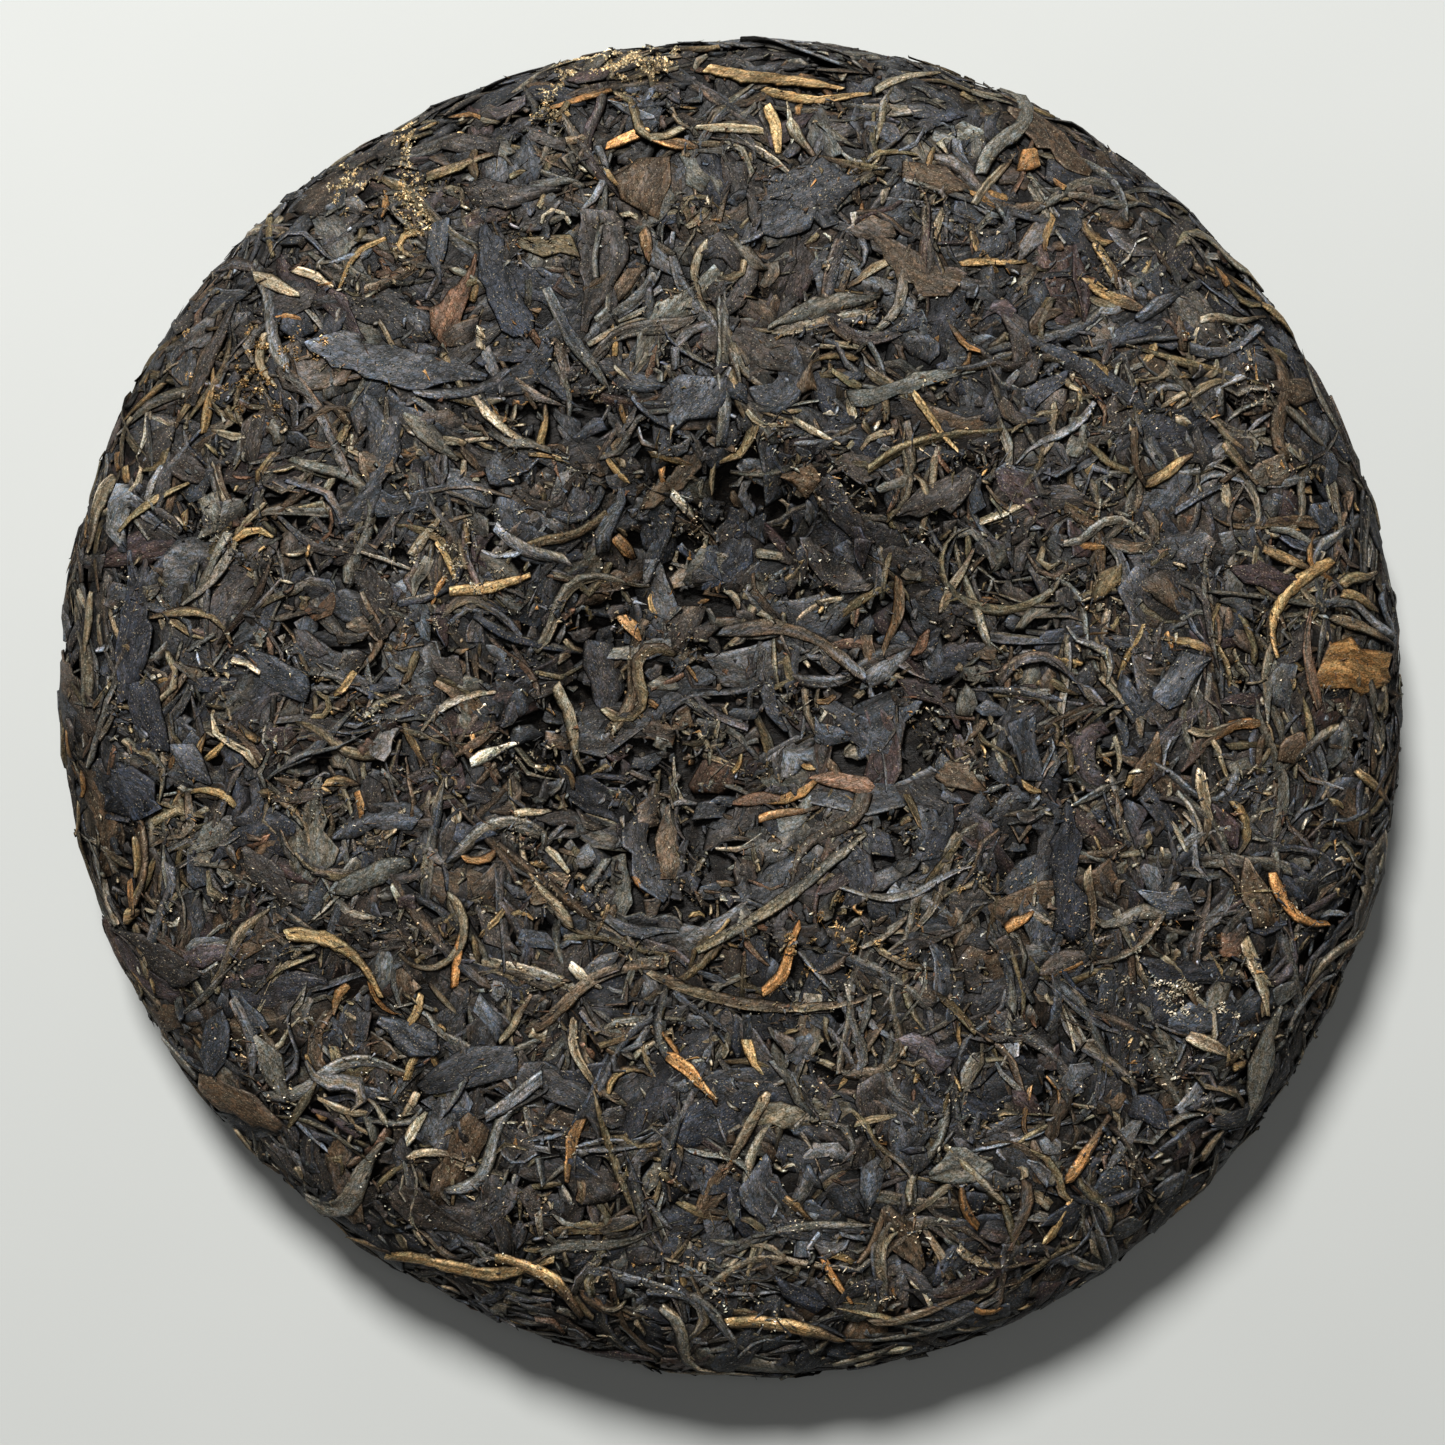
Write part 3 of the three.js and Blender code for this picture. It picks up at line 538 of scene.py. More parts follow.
# The camera looks straight down. The photo is 1445 pixels square, and 6.89 of them make a
# millimetre where the cake is widest
PHOTO_PIXELS = 1445
PIXELS_PER_MM = 6.89
CAKE_MIDDLE_PIXEL = (734.6, 702.8)
CAMERA_ABOVE = 380.0
SENSOR_MM = 36.0

# A piece to be laid: its middle on the chart or in plan, heading and bend in degrees, its
# length and width, and its colour's name
Spot = namedtuple("Spot", "place heading long bend wide colour")

# How many rings and sides on from its first corner each corner of a face lies
FACE_CORNERS = ((0, 0), (0, 1), (1, 1), (1, 0))


def smoothstep(value, low, high):
    """0 below low, 1 above high, and a smooth rise between."""
    share = np.clip((value - low) / (high - low), 0.0, 1.0)
    return share * share * (3.0 - 2.0 * share)


def linear(name):
    """A named colour in linear light, by the sRGB curve."""
    srgb = np.array(COLOURS[name]) / 255.0
    return np.where(srgb <= 0.04045, srgb / 12.92, ((srgb + 0.055) / 1.055) ** 2.4)


def shade_of(name, spread=TONE_SPREAD):
    """A named colour, a little lighter or darker and warmer or cooler each time."""
    light = math.exp(rng.normal(0.0, spread))
    warm = rng.normal(0.0, WARM_SPREAD)
    return linear(name) * light * np.array([1 + warm, 1.0, 1 - warm])


def drawn(palette):
    """A colour's name drawn from a palette."""
    shares = np.array(list(palette.values()), dtype=float)
    return list(palette)[rng.choice(len(palette), p=shares / shares.sum())]


def flat_places(distance, angle):
    """Places in the plane from polar ones."""
    return np.stack([distance * np.cos(angle), distance * np.sin(angle)], axis=-1)


def running(steps):
    """Distances from the start, from the steps between."""
    return np.concatenate([[0.0], np.cumsum(steps)])


def make_section():
    """The cake's half section: distance along it from the back's middle, radius, height."""
    angle = np.linspace(math.pi / 2, -math.pi / 2, SECTION_POINTS)
    on_back = angle > 0
    fullness = np.where(on_back, BACK_FULLNESS, FRONT_FULLNESS)
    rise = np.where(on_back, CAKE_THICKNESS - WIDEST_HEIGHT, WIDEST_HEIGHT)
    radius = CAKE_RADIUS * np.maximum(np.cos(angle), 0.0) ** (2.0 / fullness)
    height = WIDEST_HEIGHT + rise * np.sin(angle)
    steps = np.hypot(np.diff(radius), np.diff(height))
    return running(steps), radius, height


SECTION_ALONG, SECTION_RADIUS, SECTION_HEIGHT = make_section()
SECTION_LENGTH = SECTION_ALONG[-1]
WIDEST = len(SECTION_ALONG) // 2
BACK_REACH = SECTION_ALONG[WIDEST]
FRONT_REACH = SECTION_LENGTH - BACK_REACH


def swell(angle):
    """How far the outline is from a true circle, as a factor."""
    radius = np.full(np.shape(angle), CAKE_RADIUS)
    for lobes, size, peak in OUTLINE_SWELLS:
        radius = radius + size * np.cos(lobes * (angle - math.radians(peak)))
    return radius / CAKE_RADIUS


def surface_point(angle, along):
    """Points on the cake's smooth surface."""
    radius = np.interp(along, SECTION_ALONG, SECTION_RADIUS) * swell(angle)
    height = np.interp(along, SECTION_ALONG, SECTION_HEIGHT)
    x = radius * np.cos(angle)
    y = radius * np.sin(angle)
    from_hollow = np.hypot(x - HOLLOW_CENTRE[0], y - HOLLOW_CENTRE[1])
    hollow = HOLLOW_DEPTH * (1 - smoothstep(from_hollow, HOLLOW_FLOOR_RADIUS, HOLLOW_LIP_RADIUS))
    height = height - np.where(height > WIDEST_HEIGHT, hollow, 0.0)
    return np.stack([x, y, height], axis=-1)


def surface_normal(angle, along):
    """Outward normals there, from neighbours on both sides."""
    reach = np.maximum(np.interp(along, SECTION_ALONG, SECTION_RADIUS), 2 * NORMAL_REACH)
    turn = NORMAL_REACH / reach
    around = surface_point(angle + turn, along) - surface_point(angle - turn, along)
    inner = np.clip(along - NORMAL_REACH, 0.0, SECTION_LENGTH)
    outer = np.clip(along + NORMAL_REACH, 0.0, SECTION_LENGTH)
    down = surface_point(angle, outer) - surface_point(angle, inner)
    normal = np.cross(down, around)
    return normal / np.linalg.norm(normal, axis=-1, keepdims=True)


def from_chart(chart, on_front):
    """Chart places (u, v, height in the pile) on one face to points in space.

    u and v are distances along the surface from the middle of the face. Nothing goes under
    the floor.
    """
    u, v, pile = chart[:, 0], chart[:, 1], chart[:, 2]
    angle = np.arctan2(v, u)
    along = np.hypot(u, v)
    height = pile - (FRONT_SINK if on_front else BACK_SINK)
    if on_front:
        angle = -angle
        along = SECTION_LENGTH - along
    place = surface_point(angle, along) + surface_normal(angle, along) * height[:, None]
    low = place[:, 2]
    eased = FLOOR_EASE * np.exp(np.minimum(low - FLOOR_EASE, 0.0) / FLOOR_EASE)
    place[:, 2] = np.where(low < FLOOR_EASE, eased, low)
    return place


def chart_of_plan(x, y):
    """Chart places of points on the back that are given as seen from straight above."""
    angle = np.arctan2(y, x)
    reach = np.hypot(x, y) / swell(angle)
    along = np.interp(reach, SECTION_RADIUS[: WIDEST + 1], SECTION_ALONG[: WIDEST + 1])
    return flat_places(along, angle)


class Pile:
    """How high the pieces on one face lie so far, on a grid over its chart."""

    def __init__(self, reach):
        self.half = reach + PILE_MARGIN
        count = int(2 * self.half / PILE_CELL) + 2
        self.height = np.zeros((count, count))

    def cells(self, u, v):
        last = self.height.shape[0] - 1
        column = np.clip(np.rint((u + self.half) / PILE_CELL).astype(int), 0, last)
        row = np.clip(np.rint((v + self.half) / PILE_CELL).astype(int), 0, last)
        return column, row

    def under(self, u, v):
        return self.height[self.cells(u, v)]

    def raise_to(self, u, v, height):
        np.maximum.at(self.height, self.cells(u, v), height)

    def light(self, u, v, height):
        """How much light reaches places, which is painted into their colours as shade: little where
        they lie below the pile about them.
        """
        level = self.height
        for _ in range(SHADE_REACH):
            for axis in (0, 1):
                level = (np.roll(level, 1, axis) + level + np.roll(level, -1, axis)) / 3
        above = height - level[self.cells(u, v)]
        return DEEP_SHADE + (1 - DEEP_SHADE) * smoothstep(above, *SHADE_SPAN)


def denser(grid, factor):
    """A grid of values with straight-line steps added between its rows and columns."""
    for axis in (0, 1):
        count = grid.shape[axis]
        place = np.linspace(0, count - 1, (count - 1) * factor + 1)
        low = np.minimum(place.astype(int), count - 2)
        share = np.expand_dims(place - low, tuple(k for k in range(grid.ndim) if k != axis))
        grid = np.take(grid, low, axis) * (1 - share) + np.take(grid, low + 1, axis) * share
    return grid


def mesh_piece(name, points, corners, sizes, material, tint, grain):
    """A mesh object in metres from flat lists of corners, riding on the cake's body.

    tint is each point's colour with its painted shade, and how well it is lit as the fourth
    value, and grain is its place on its own piece, for the material.
    """
    mesh = bpy.data.meshes.new(name)
    mesh.vertices.add(len(points))
    mesh.vertices.foreach_set("co", (points * MM).astype(np.float32).reshape(-1))
    mesh.loops.add(len(corners))
    mesh.loops.foreach_set("vertex_index", corners.astype(np.int32))
    mesh.polygons.add(len(sizes))
    starts = np.concatenate([[0], np.cumsum(sizes)[:-1]])
    mesh.polygons.foreach_set("loop_start", starts.astype(np.int32))
    mesh.polygons.foreach_set("use_smooth", np.ones(len(sizes), dtype=bool))
    mesh.update(calc_edges=True)
    colours = mesh.attributes.new("tint", "FLOAT_COLOR", "POINT")
    colours.data.foreach_set("color", tint.astype(np.float32).reshape(-1))
    places = mesh.attributes.new("grain", "FLOAT_VECTOR", "POINT")
    places.data.foreach_set("vector", grain.astype(np.float32).reshape(-1))
    mesh.materials.append(material)
    piece = bpy.data.objects.new(name, mesh)
    bpy.context.collection.objects.link(piece)
    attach(piece, "root")
    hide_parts(NODE)
    return piece


def ring_faces(rings, sides):
    """The ring and side of each four-sided face between rings of points, and its corners."""
    i, j = np.meshgrid(np.arange(rings - 1), np.arange(sides), indexing="ij")
    corners = [(i + k) * sides + (j + m) % sides for k, m in FACE_CORNERS]
    return i, j, np.stack(corners, axis=-1)


class Batch:
    """Many closed pieces of one kind, gathered into one mesh."""

    def __init__(self, pile, on_front=False):
        self.pile = pile
        self.on_front = on_front
        self.charts, self.tints, self.grains = [], [], []
        self.corners, self.sizes, self.maps, self.rooms = [], [], [], []
        self.count = 0

    def add_tube(self, chart, tint, grain, spans, girths):
        """A closed tube: rings of chart places, with a cap on each end.

        spans are distances along the piece and girths round its ring, for its map.
        """
        rings, sides = chart.shape[:2]
        first = self.count
        self.count += rings * sides
        self.charts.append(chart.reshape(-1, 3))
        self.tints.append(tint.reshape(-1, 4))
        self.grains.append(grain.reshape(-1, 3))
        i, j, quads = ring_faces(rings, sides)
        self.corners.append(first + quads.reshape(-1))
        self.sizes.append(np.full(i.size, 4))
        room = [np.stack([spans[i + k], girths[j + m]], axis=-1) for k, m in FACE_CORNERS]
        self.maps.append(np.stack(room, axis=-2).reshape(-1, 2))
        ends = np.arange(sides)
        self.corners.append(first + ends[::-1])
        self.corners.append(first + (rings - 1) * sides + ends)
        self.sizes.append(np.array([sides, sides]))
        bulge = CAP_ROOM * np.sin(np.pi * (ends + 0.5) / sides)
        self.maps.append(np.stack([spans[0] - bulge, girths[:-1]], -1)[::-1])
        self.maps.append(np.stack([spans[-1] + bulge, girths[:-1]], -1))
        corner_count = quads.size + 2 * sides
        self.rooms.append((corner_count, spans[-1] - spans[0] + 2 * CAP_ROOM, girths[-1]))

    def make(self, name, material):
        """The mesh object, with its colours, its grain and a map where no two faces meet."""
        chart = np.concatenate(self.charts)
        tint = np.concatenate(self.tints)
        # Painted shade: each point is darkened, and warmed, by how deep it lies below the pile about it
        tint = tint * self.pile.light(*chart.T)[:, None] ** SHADE_TINT
        points = from_chart(chart, self.on_front)
        piece = mesh_piece(name, points, np.concatenate(self.corners),
                           np.concatenate(self.sizes), material, tint,
                           np.concatenate(self.grains))
        self.lay_map(piece)

    def lay_map(self, piece):
        """Each piece's own rectangle of the map, packed on shelves."""
        corner_counts = np.array([room[0] for room in self.rooms])
        wide = np.array([room[1] for room in self.rooms]) + 2 * MAP_MARGIN
        tall = np.array([room[2] for room in self.rooms]) + 2 * MAP_MARGIN
        side = math.sqrt((wide * tall).sum() * MAP_SPARE)
        x = y = shelf = 0.0
        left = np.zeros(len(wide))
        low = np.zeros(len(wide))
        for k in np.argsort(-tall):
            if x + wide[k] > side:
                x, y, shelf = 0.0, y + shelf, 0.0
            left[k], low[k] = x, y
            x += wide[k]
            shelf = max(shelf, tall[k])
        scale = 1.0 / max(side, y + shelf)
        shift = np.stack([left + MAP_MARGIN + CAP_ROOM, low + MAP_MARGIN], axis=-1)
        places = (np.concatenate(self.maps) + np.repeat(shift, corner_counts, axis=0)) * scale
        layer = piece.data.uv_layers.new(name="OFBake")
        layer.data.foreach_set("uv", places.astype(np.float32).reshape(-1))


def stations(long, step, fewest, most):
    """Shares of a piece's length at which it has a ring, two of them close to each end."""
    count = int(np.clip(long / step, fewest, most))
    end = min(SKIRT / long, SKIRT_SHARE)
    return np.concatenate([[0.0], np.linspace(end, 1 - end, count - 2), [1.0]])


def centreline(shares, spot, wiggle=0.0, in_plan=False):
    """The chart line of a piece's middle, from a spot on the chart or in plan."""
    share = (shares[:-1] + shares[1:]) / 2
    course = np.radians(spot.heading) + np.radians(spot.bend) * (share - 0.5)
    course = course + wiggle * np.sin(2 * math.pi * (share + rng.random()))
    stride = spot.long * np.diff(shares)
    steps = np.stack([np.cos(course), np.sin(course)], axis=-1) * stride[:, None]
    line = np.concatenate([[[0.0, 0.0]], np.cumsum(steps, axis=0)])
    line = line - (line[0] + line[-1] + 2 * line[len(line) // 2]) / 4 + spot.place
    return chart_of_plan(line[:, 0], line[:, 1]) if in_plan else line


def smoothed(values, rounds):
    """A line of values, each drawn towards its neighbours."""
    for _ in range(rounds):
        padded = np.concatenate([values[:1], values, values[-1:]])
        values = (padded[:-2] + 2 * padded[1:-1] + padded[2:]) / 4
    return values


def crinkle(count, strength, rounds=1):
    """Random ups and downs along a piece."""
    return smoothed(rng.normal(0.0, strength, count), rounds)


def bell(turn, place, width):
    """1 at a place round a ring, and a smooth fall to nought on both sides."""
    return np.exp(-(((turn - place) / width) ** 2))


def rotated(x, y, cosine, sine):
    """Places turned about the origin."""
    return x * cosine - y * sine, x * sine + y * cosine


def flat_ring(inner):
    """The ring of a flat leaf, and how many of its points are on the upper face."""
    across = np.linspace(FLAT_SHARE, -FLAT_SHARE, inner)
    dome = 1 - FLAT_FALL[0] * np.abs(across) ** FLAT_FALL[1]
    side = [FLAT_FOOT, FLAT_SHOULDER]
    x = np.concatenate([[1.0, 1.0], across, [-1.0, -1.0], [-FLAT_UNDER, FLAT_UNDER]])
    y = np.concatenate([side, dome, side[::-1], [-1.0, -1.0]])
    return x, y, inner + 4


def round_ring(inner, low=ROUND_LOW, squareness=ROUND_SQUARENESS):
    """The ring of a strip, fuller than an oval, as a strip is once it is pressed."""
    turn = math.pi * np.linspace(low, 1 - low, inner)
    x = np.concatenate([[1.0], np.cos(turn), [-1.0, 0.0]])
    y = np.concatenate([[ROUND_FOOT], np.sin(turn) ** squareness, [ROUND_FOOT, -1.0]])
    return x, y, inner + 2


def directions(line):
    """Which way a line runs at each of its points, and which way its left side lies."""
    ahead = np.gradient(line, axis=0)
    ahead /= np.linalg.norm(ahead, axis=1, keepdims=True)
    return ahead, np.stack([-ahead[:, 1], ahead[:, 0]], axis=-1)


def cross_sections(half, thick, ring, relief, cup, rag):
    """How far aside and up each point of a piece's rings is, and how well lit it is."""
    ring_x, ring_y, upper = ring
    left, right = np.clip(rng.normal(1, rag, (2, len(half))), *SIDE_LIMITS)
    x = half[:, None] * ring_x * np.where(ring_x > 0, left[:, None], right[:, None])
    y = 0.5 * thick[:, None] * ring_y - cup * (ring_x**2 - CUP_LEVEL) + relief
    skirts = np.zeros(x.shape)
    skirts[:, [0, upper - 1]] = 1.0
    x = x + SKIRT * skirts * np.sign(ring_x)
    skirts[[0, -1]] = 1.0
    # Painted shade on the skirts and ends, and on each edge beside them a random painted highlight or
    # shade factor
    lit = 1 - (1 - SKIRT_SHADE) * skirts
    lit[:, [1, upper - 2]] *= rng.uniform(*EDGE_HIGHLIGHT_AND_SHADE, 2)
    lit[[1, -2]] *= rng.uniform(*EDGE_HIGHLIGHT_AND_SHADE, (2, 1))
    y[[0, -1]] = np.minimum(y[[0, -1]], -END_DROP * thick[[0, -1], None])
    return x, y, lit


def settled(pile, line, side, across, up, bite, at_rim, on_top):
    """Heights of a piece's rings once it is draped over the pile and pressed into it."""
    count = len(line)
    reach = DRAPE_REACH * np.abs(across).max(axis=1)
    supports = [pile.under(*(line + side * (reach * k)[:, None]).T) for k in DRAPE_PLACES]
    supports = np.stack(supports)
    firm = TOP_FIRM if on_top else FIRM
    held = firm * supports.max(axis=0) + (1 - firm) * supports.mean(axis=0)
    held = smoothed(held, 2 + count // DRAPE_STATIONS)
    depth = smoothed(-up.min(axis=1), 2)
    rise = smoothed(up.max(axis=1), 2)
    base = held + depth * (1 - 2 * bite)
    level = rng.uniform(*PRESS_LEVEL) + RIM_LOOSE * at_rim * rng.random() ** 2
    proud = np.maximum(base + rise - level, 0.0)
    base = base - (TOP_PRESS if on_top else PRESS_FORCE) * smoothed(proud, 2)
    curl = RIM_CURL * at_rim * rng.random() ** 3
    return base + curl * np.linspace(*rng.permutation([0.0, 1.0]), count) ** 2


def girths_of(x, y):
    """Distances round a ring from its first point."""
    steps = np.hypot(np.diff(x, append=x[0]), np.diff(y, append=y[0]))
    return running(np.maximum(steps, LEAST_GIRTH))


def fully_lit(colours):
    """Colours with a fourth value for how well lit they are."""
    return np.concatenate([colours, np.ones(colours.shape[:-1] + (1,))], axis=-1)


def tones(colours, shape, stripe, at_rim):
    """Each point's colour: a piece's two, mixed in stretches and along its stripe, with painted shade
    towards the rim.
    """
    count, sides = shape
    share = smoothed(rng.normal(*SECOND_ALONG, count), 2)[:, None]
    share = share + rng.normal(0, SECOND_ACROSS, (1, sides))
    if stripe is not None:
        share = share * STRIPED + stripe
    share = np.clip(share, 0.0, 1.0)[..., None]
    tint = colours[0] * (1 - share) + colours[1] * share
    waver = np.exp(crinkle(count, TONE_WAVER, 2))
    # Painted shade: darker towards the rim, where the surface turns away from the light
    return tint * waver[:, None, None] * (1 - RIM_SHADE * at_rim)


def lay(batch, line, half, thick, ring, colours, roll=0.0, relief=0.0, bite=BITE, cup=0.0,
        stripe=None, rag=SIDE_SPREAD, on_top=False):
    """Lay one closed piece on the pile along a chart line, draped and pressed into it.

    One on top rests on the highest of what is under it, and is pressed in less.
    """
    middle = len(line) // 2
    ahead, side = directions(line)
    x, y, lit = cross_sections(half, thick, ring, relief, cup, rag)
    roll = np.broadcast_to(roll, half.shape)[:, None]
    across, up = rotated(x, y, np.cos(roll), np.sin(roll))
    at_rim = smoothstep(np.hypot(*line[middle]), *RIM_SPAN)
    base = settled(batch.pile, line, side, across, up, bite, at_rim, on_top)
    slant = np.linspace(*rng.normal(0, END_SLANT, 2), len(line))[:, None] * across
    chart = np.empty(across.shape + (3,))
    chart[..., :2] = line[:, None, :] + side[:, None, :] * across[..., None]
    chart[..., :2] += ahead[:, None, :] * slant[..., None]
    chart[..., 2] = base[:, None] + up
    top = denser(chart[:, : ring[2]], PILE_FINER)
    batch.pile.raise_to(*top.reshape(-1, 3).T)

    spans = running(np.linalg.norm(np.diff(line, axis=0), axis=1))
    grain = np.empty_like(chart)
    grain[..., 0] = spans[:, None]
    grain[..., 1] = x
    grain[..., 2] = rng.random() * GRAIN_APART
    tint = tones(colours, x.shape, stripe, at_rim)
    tint = fully_lit(tint) * lit[..., None] ** SHADE_TINT
    batch.add_tube(chart, tint, grain, spans, girths_of(x[middle], y[middle]))


def outline(share, tips, runs):
    """Shares of the full width along a piece: tips are its two ends' widths, and runs the
    shares of its length over which it narrows to them."""
    first = tips[0] + (1 - tips[0]) * smoothstep(share, END_START, runs[0])
    last = tips[1] + (1 - tips[1]) * smoothstep(1 - share, END_START, runs[1])
    return first * last


def torn_outline(share, points):
    """An outline with each end either pointed, with that chance, or torn off short."""
    tips, runs = [], []
    for _ in range(2):
        pointed = rng.random() < points
        tips.append(rng.uniform(*(POINTED_TIP if pointed else TORN_TIP)))
        runs.append(rng.uniform(*(POINTED_RUN if pointed else TORN_RUN)))
    return outline(share, tips, runs)


def leaf_relief(share, ring_x):
    """A leaf's folds and the hem that some have along a side, and how much of the second
    colour the hem takes."""
    count = len(share)
    share = share[:, None]
    relief = ROUGHNESS * rng.normal(size=(count, len(ring_x)))
    relief = relief + crinkle(count, LEAF_WAVER)[:, None]
    for _ in range(rng.integers(*LEAF_FOLDS)):
        place = rng.uniform(-FOLD_PLACE, FOLD_PLACE)
        aside = np.abs(ring_x - place - rng.normal(0, FOLD_DRIFT) * (share - 0.5))
        relief = relief + rng.normal(0, FOLD_HEIGHT) * (1 - np.minimum(aside / FOLD_WIDTH, 1.0))
    hem = (ring_x * rng.choice([-1.0, 1.0]) > HEM_START) * (rng.random() < HEM_CHANCE)
    relief = relief + rng.uniform(*HEM_HEIGHT) * hem
    return relief, rng.uniform(*HEM_TONE) * hem * np.ones((count, 1))


def lay_leaf(batch, spot, in_plan=False, grid=FINE_GRID, second=SECOND_PALETTE):
    """A broad pressed leaf or a torn part of one: thin, uneven in outline, with folds.

    One that is placed in plan keeps to its own colour.
    """
    step, cell = grid
    share = stations(spot.long, step, *LEAF_STATIONS)
    count = len(share)
    line = centreline(share, spot, LEAF_WIGGLE, in_plan)
    ring = flat_ring(int(np.clip(spot.wide / cell, *LEAF_POINTS)))
    points, rag = PLACED_EDGES if in_plan else STREWN_EDGES
    half = 0.5 * spot.wide * torn_outline(share, points) * (1 + crinkle(count, UNEVEN_WIDTH))
    thick = np.full(count, rng.uniform(*LEAF_THICK))
    relief, stripe = leaf_relief(share, ring[0])
    second_name = drawn(second)
    colours = shade_of(spot.colour), shade_of(second_name)
    if in_plan:
        colours = shade_of(spot.colour, PLACED_SPREAD), OWN_SHADE * linear(spot.colour)
    lay(batch, line, half, thick, ring, colours, roll=rng.normal(0, LEAF_ROLL), relief=relief,
        cup=abs(rng.normal(*LEAF_CUP)), stripe=stripe, rag=rag, on_top=in_plan)


def lay_flake(batch, spot):
    """A small flat scrap with straight, broken edges."""
    share = np.array(FLAKE_SHARES)
    count = len(share)
    line = centreline(share, spot)
    ring = flat_ring(FLAKE_POINTS)
    half = 0.5 * spot.wide * rng.uniform(*FLAKE_WIDTHS, count)
    thick = np.full(count, rng.uniform(*FLAKE_THICK))
    along, around = FLAKE_WAVER
    relief = rng.normal(0, along, (count, 1)) + rng.normal(0, around, (count, len(ring[0])))
    colours = shade_of(spot.colour, FLAKE_SPREAD), shade_of(drawn(SECOND_PALETTE))
    lay(batch, line, half, thick, ring, colours, roll=rng.normal(0, FLAKE_ROLL), relief=relief)


def lay_strip(batch, spot, in_plan=False):
    """A rolled, twisted leaf: an oval, grooved section that turns along its length."""
    share = stations(spot.long, STRIP_STEP, *STRIP_STATIONS)
    count = len(share)
    line = centreline(share, spot, rng.normal(0, STRIP_WIGGLE), in_plan)
    ring = round_ring(STRIP_POINTS[spot.wide > WIDE_STRIP])
    half = 0.5 * spot.wide * torn_outline(share, STRIP_POINTED)
    half = half * (1 + crinkle(count, UNEVEN_WIDTH))
    thick = 2 * half * rng.uniform(*STRIP_FLATNESS)
    roll = rng.uniform(-STRIP_LEAN, STRIP_LEAN) + rng.normal(0, STRIP_TWIST) * share
    roll = roll + crinkle(count, STRIP_WAVER, 2)
    turn = np.arctan2(ring[1], ring[0])
    relief = ROUGHNESS * rng.normal(size=(count, len(turn)))
    for _ in range(GROOVES):
        groove = rng.uniform(*GROOVE_TURN) + rng.normal(0, GROOVE_WIND) * share[:, None]
        depth = half[:, None] * rng.uniform(*GROOVE_DEPTH)
        relief = relief - depth * bell(turn, groove, GROOVE_WIDTH)
    # The pale edge: the leaf's paler colour, and partly a painted highlight along the rolled edge
    edge = rng.uniform(*PALE_TURN) + rng.normal(0, PALE_WIND) * share[:, None]
    stripe = rng.uniform(*PALE_TONE) * bell(turn, edge, PALE_WIDTH)
    colours = shade_of(spot.colour), shade_of(drawn(EDGE_PALETTE))
    lay(batch, line, half, thick, ring, colours, roll=roll, relief=relief, stripe=stripe,
        on_top=in_plan)


def lay_curl(batch, spot):
    """A short scrap of rolled leaf, bent well round."""
    lay_strip(batch, spot._replace(bend=spot.bend * CURL_BEND))


def lay_knot(batch, spot, in_plan=False):
    """A leaf crumpled into a ball: its folds lie one over another."""
    for turn in np.linspace(0, 180, KNOT_FOLDS, endpoint=False):
        place = spot.place + rng.normal(0, KNOT_SHIFT, 2)
        fold = spot._replace(place=place, heading=spot.heading + turn, bend=KNOT_BEND)
        lay_leaf(batch, fold, in_plan)


def lay_splinter(batch, spot):
    """A small broken shred, with a ridge along it."""
    share = np.array(SPLINTER_SHARES)
    line = centreline(share, spot)
    widths = 0.5 * spot.wide * np.array(SPLINTER_WIDTHS)
    half = widths * rng.uniform(*SPLINTER_UNEVEN, len(share))
    thick = half * rng.uniform(*SPLINTER_THICK)
    tone = shade_of(spot.colour, SPLINTER_SPREAD)
    lay(batch, line, half, thick, round_ring(1, low=0.5), (tone, tone),
        roll=rng.normal(0, SPLINTER_ROLL), bite=SPLINTER_BITE)


def lay_bud(batch, spot, in_plan=False):
    """A bud or young stem: a slim spindle, fuller at its foot, with a groove along it."""
    share = stations(spot.long, BUD_STEP, *BUD_STATIONS)
    count = len(share)
    line = centreline(share, spot, rng.normal(0, BUD_WIGGLE), in_plan)
    ring = round_ring(BUD_POINTS, squareness=BUD_SQUARENESS)
    tips = rng.uniform(*BUD_FOOT), rng.uniform(*BUD_TIP)
    runs = BUD_FOOT_RUN, rng.uniform(*BUD_TIP_RUN)
    half = BUD_FULLNESS * spot.wide * outline(share, tips, runs)
    half = half * (1 + crinkle(count, BUD_UNEVEN))
    thick = 2 * half * rng.uniform(*BUD_FLATNESS)
    roll = rng.normal(0, BUD_TWIST) * np.linspace(-1, 1, count)
    turn = np.arctan2(ring[1], ring[0])
    groove = bell(turn, rng.uniform(*BUD_GROOVE), BUD_GROOVE_WIDTH)
    relief = BUD_ROUGHNESS * rng.normal(size=(count, len(turn)))
    relief = relief - BUD_GROOVE_DEPTH * half[:, None] * groove
    second = "umber" if rng.random() < BROWN_CHANCE else spot.colour
    second_tone = shade_of(second, SECOND_SPREAD)
    stripe = BUD_SIDE_TONE * bell(turn, rng.uniform(*BUD_SIDE), BUD_SIDE_WIDTH)
    stripe = stripe + BUD_TIP_TONE * smoothstep(share, BUD_TIP_START, 1.0)[:, None]
    lay(batch, line, half, thick, ring, (shade_of(spot.colour, BUD_SPREAD), second_tone),
        roll=roll, relief=relief, bite=BUD_BITE, stripe=stripe, on_top=in_plan)


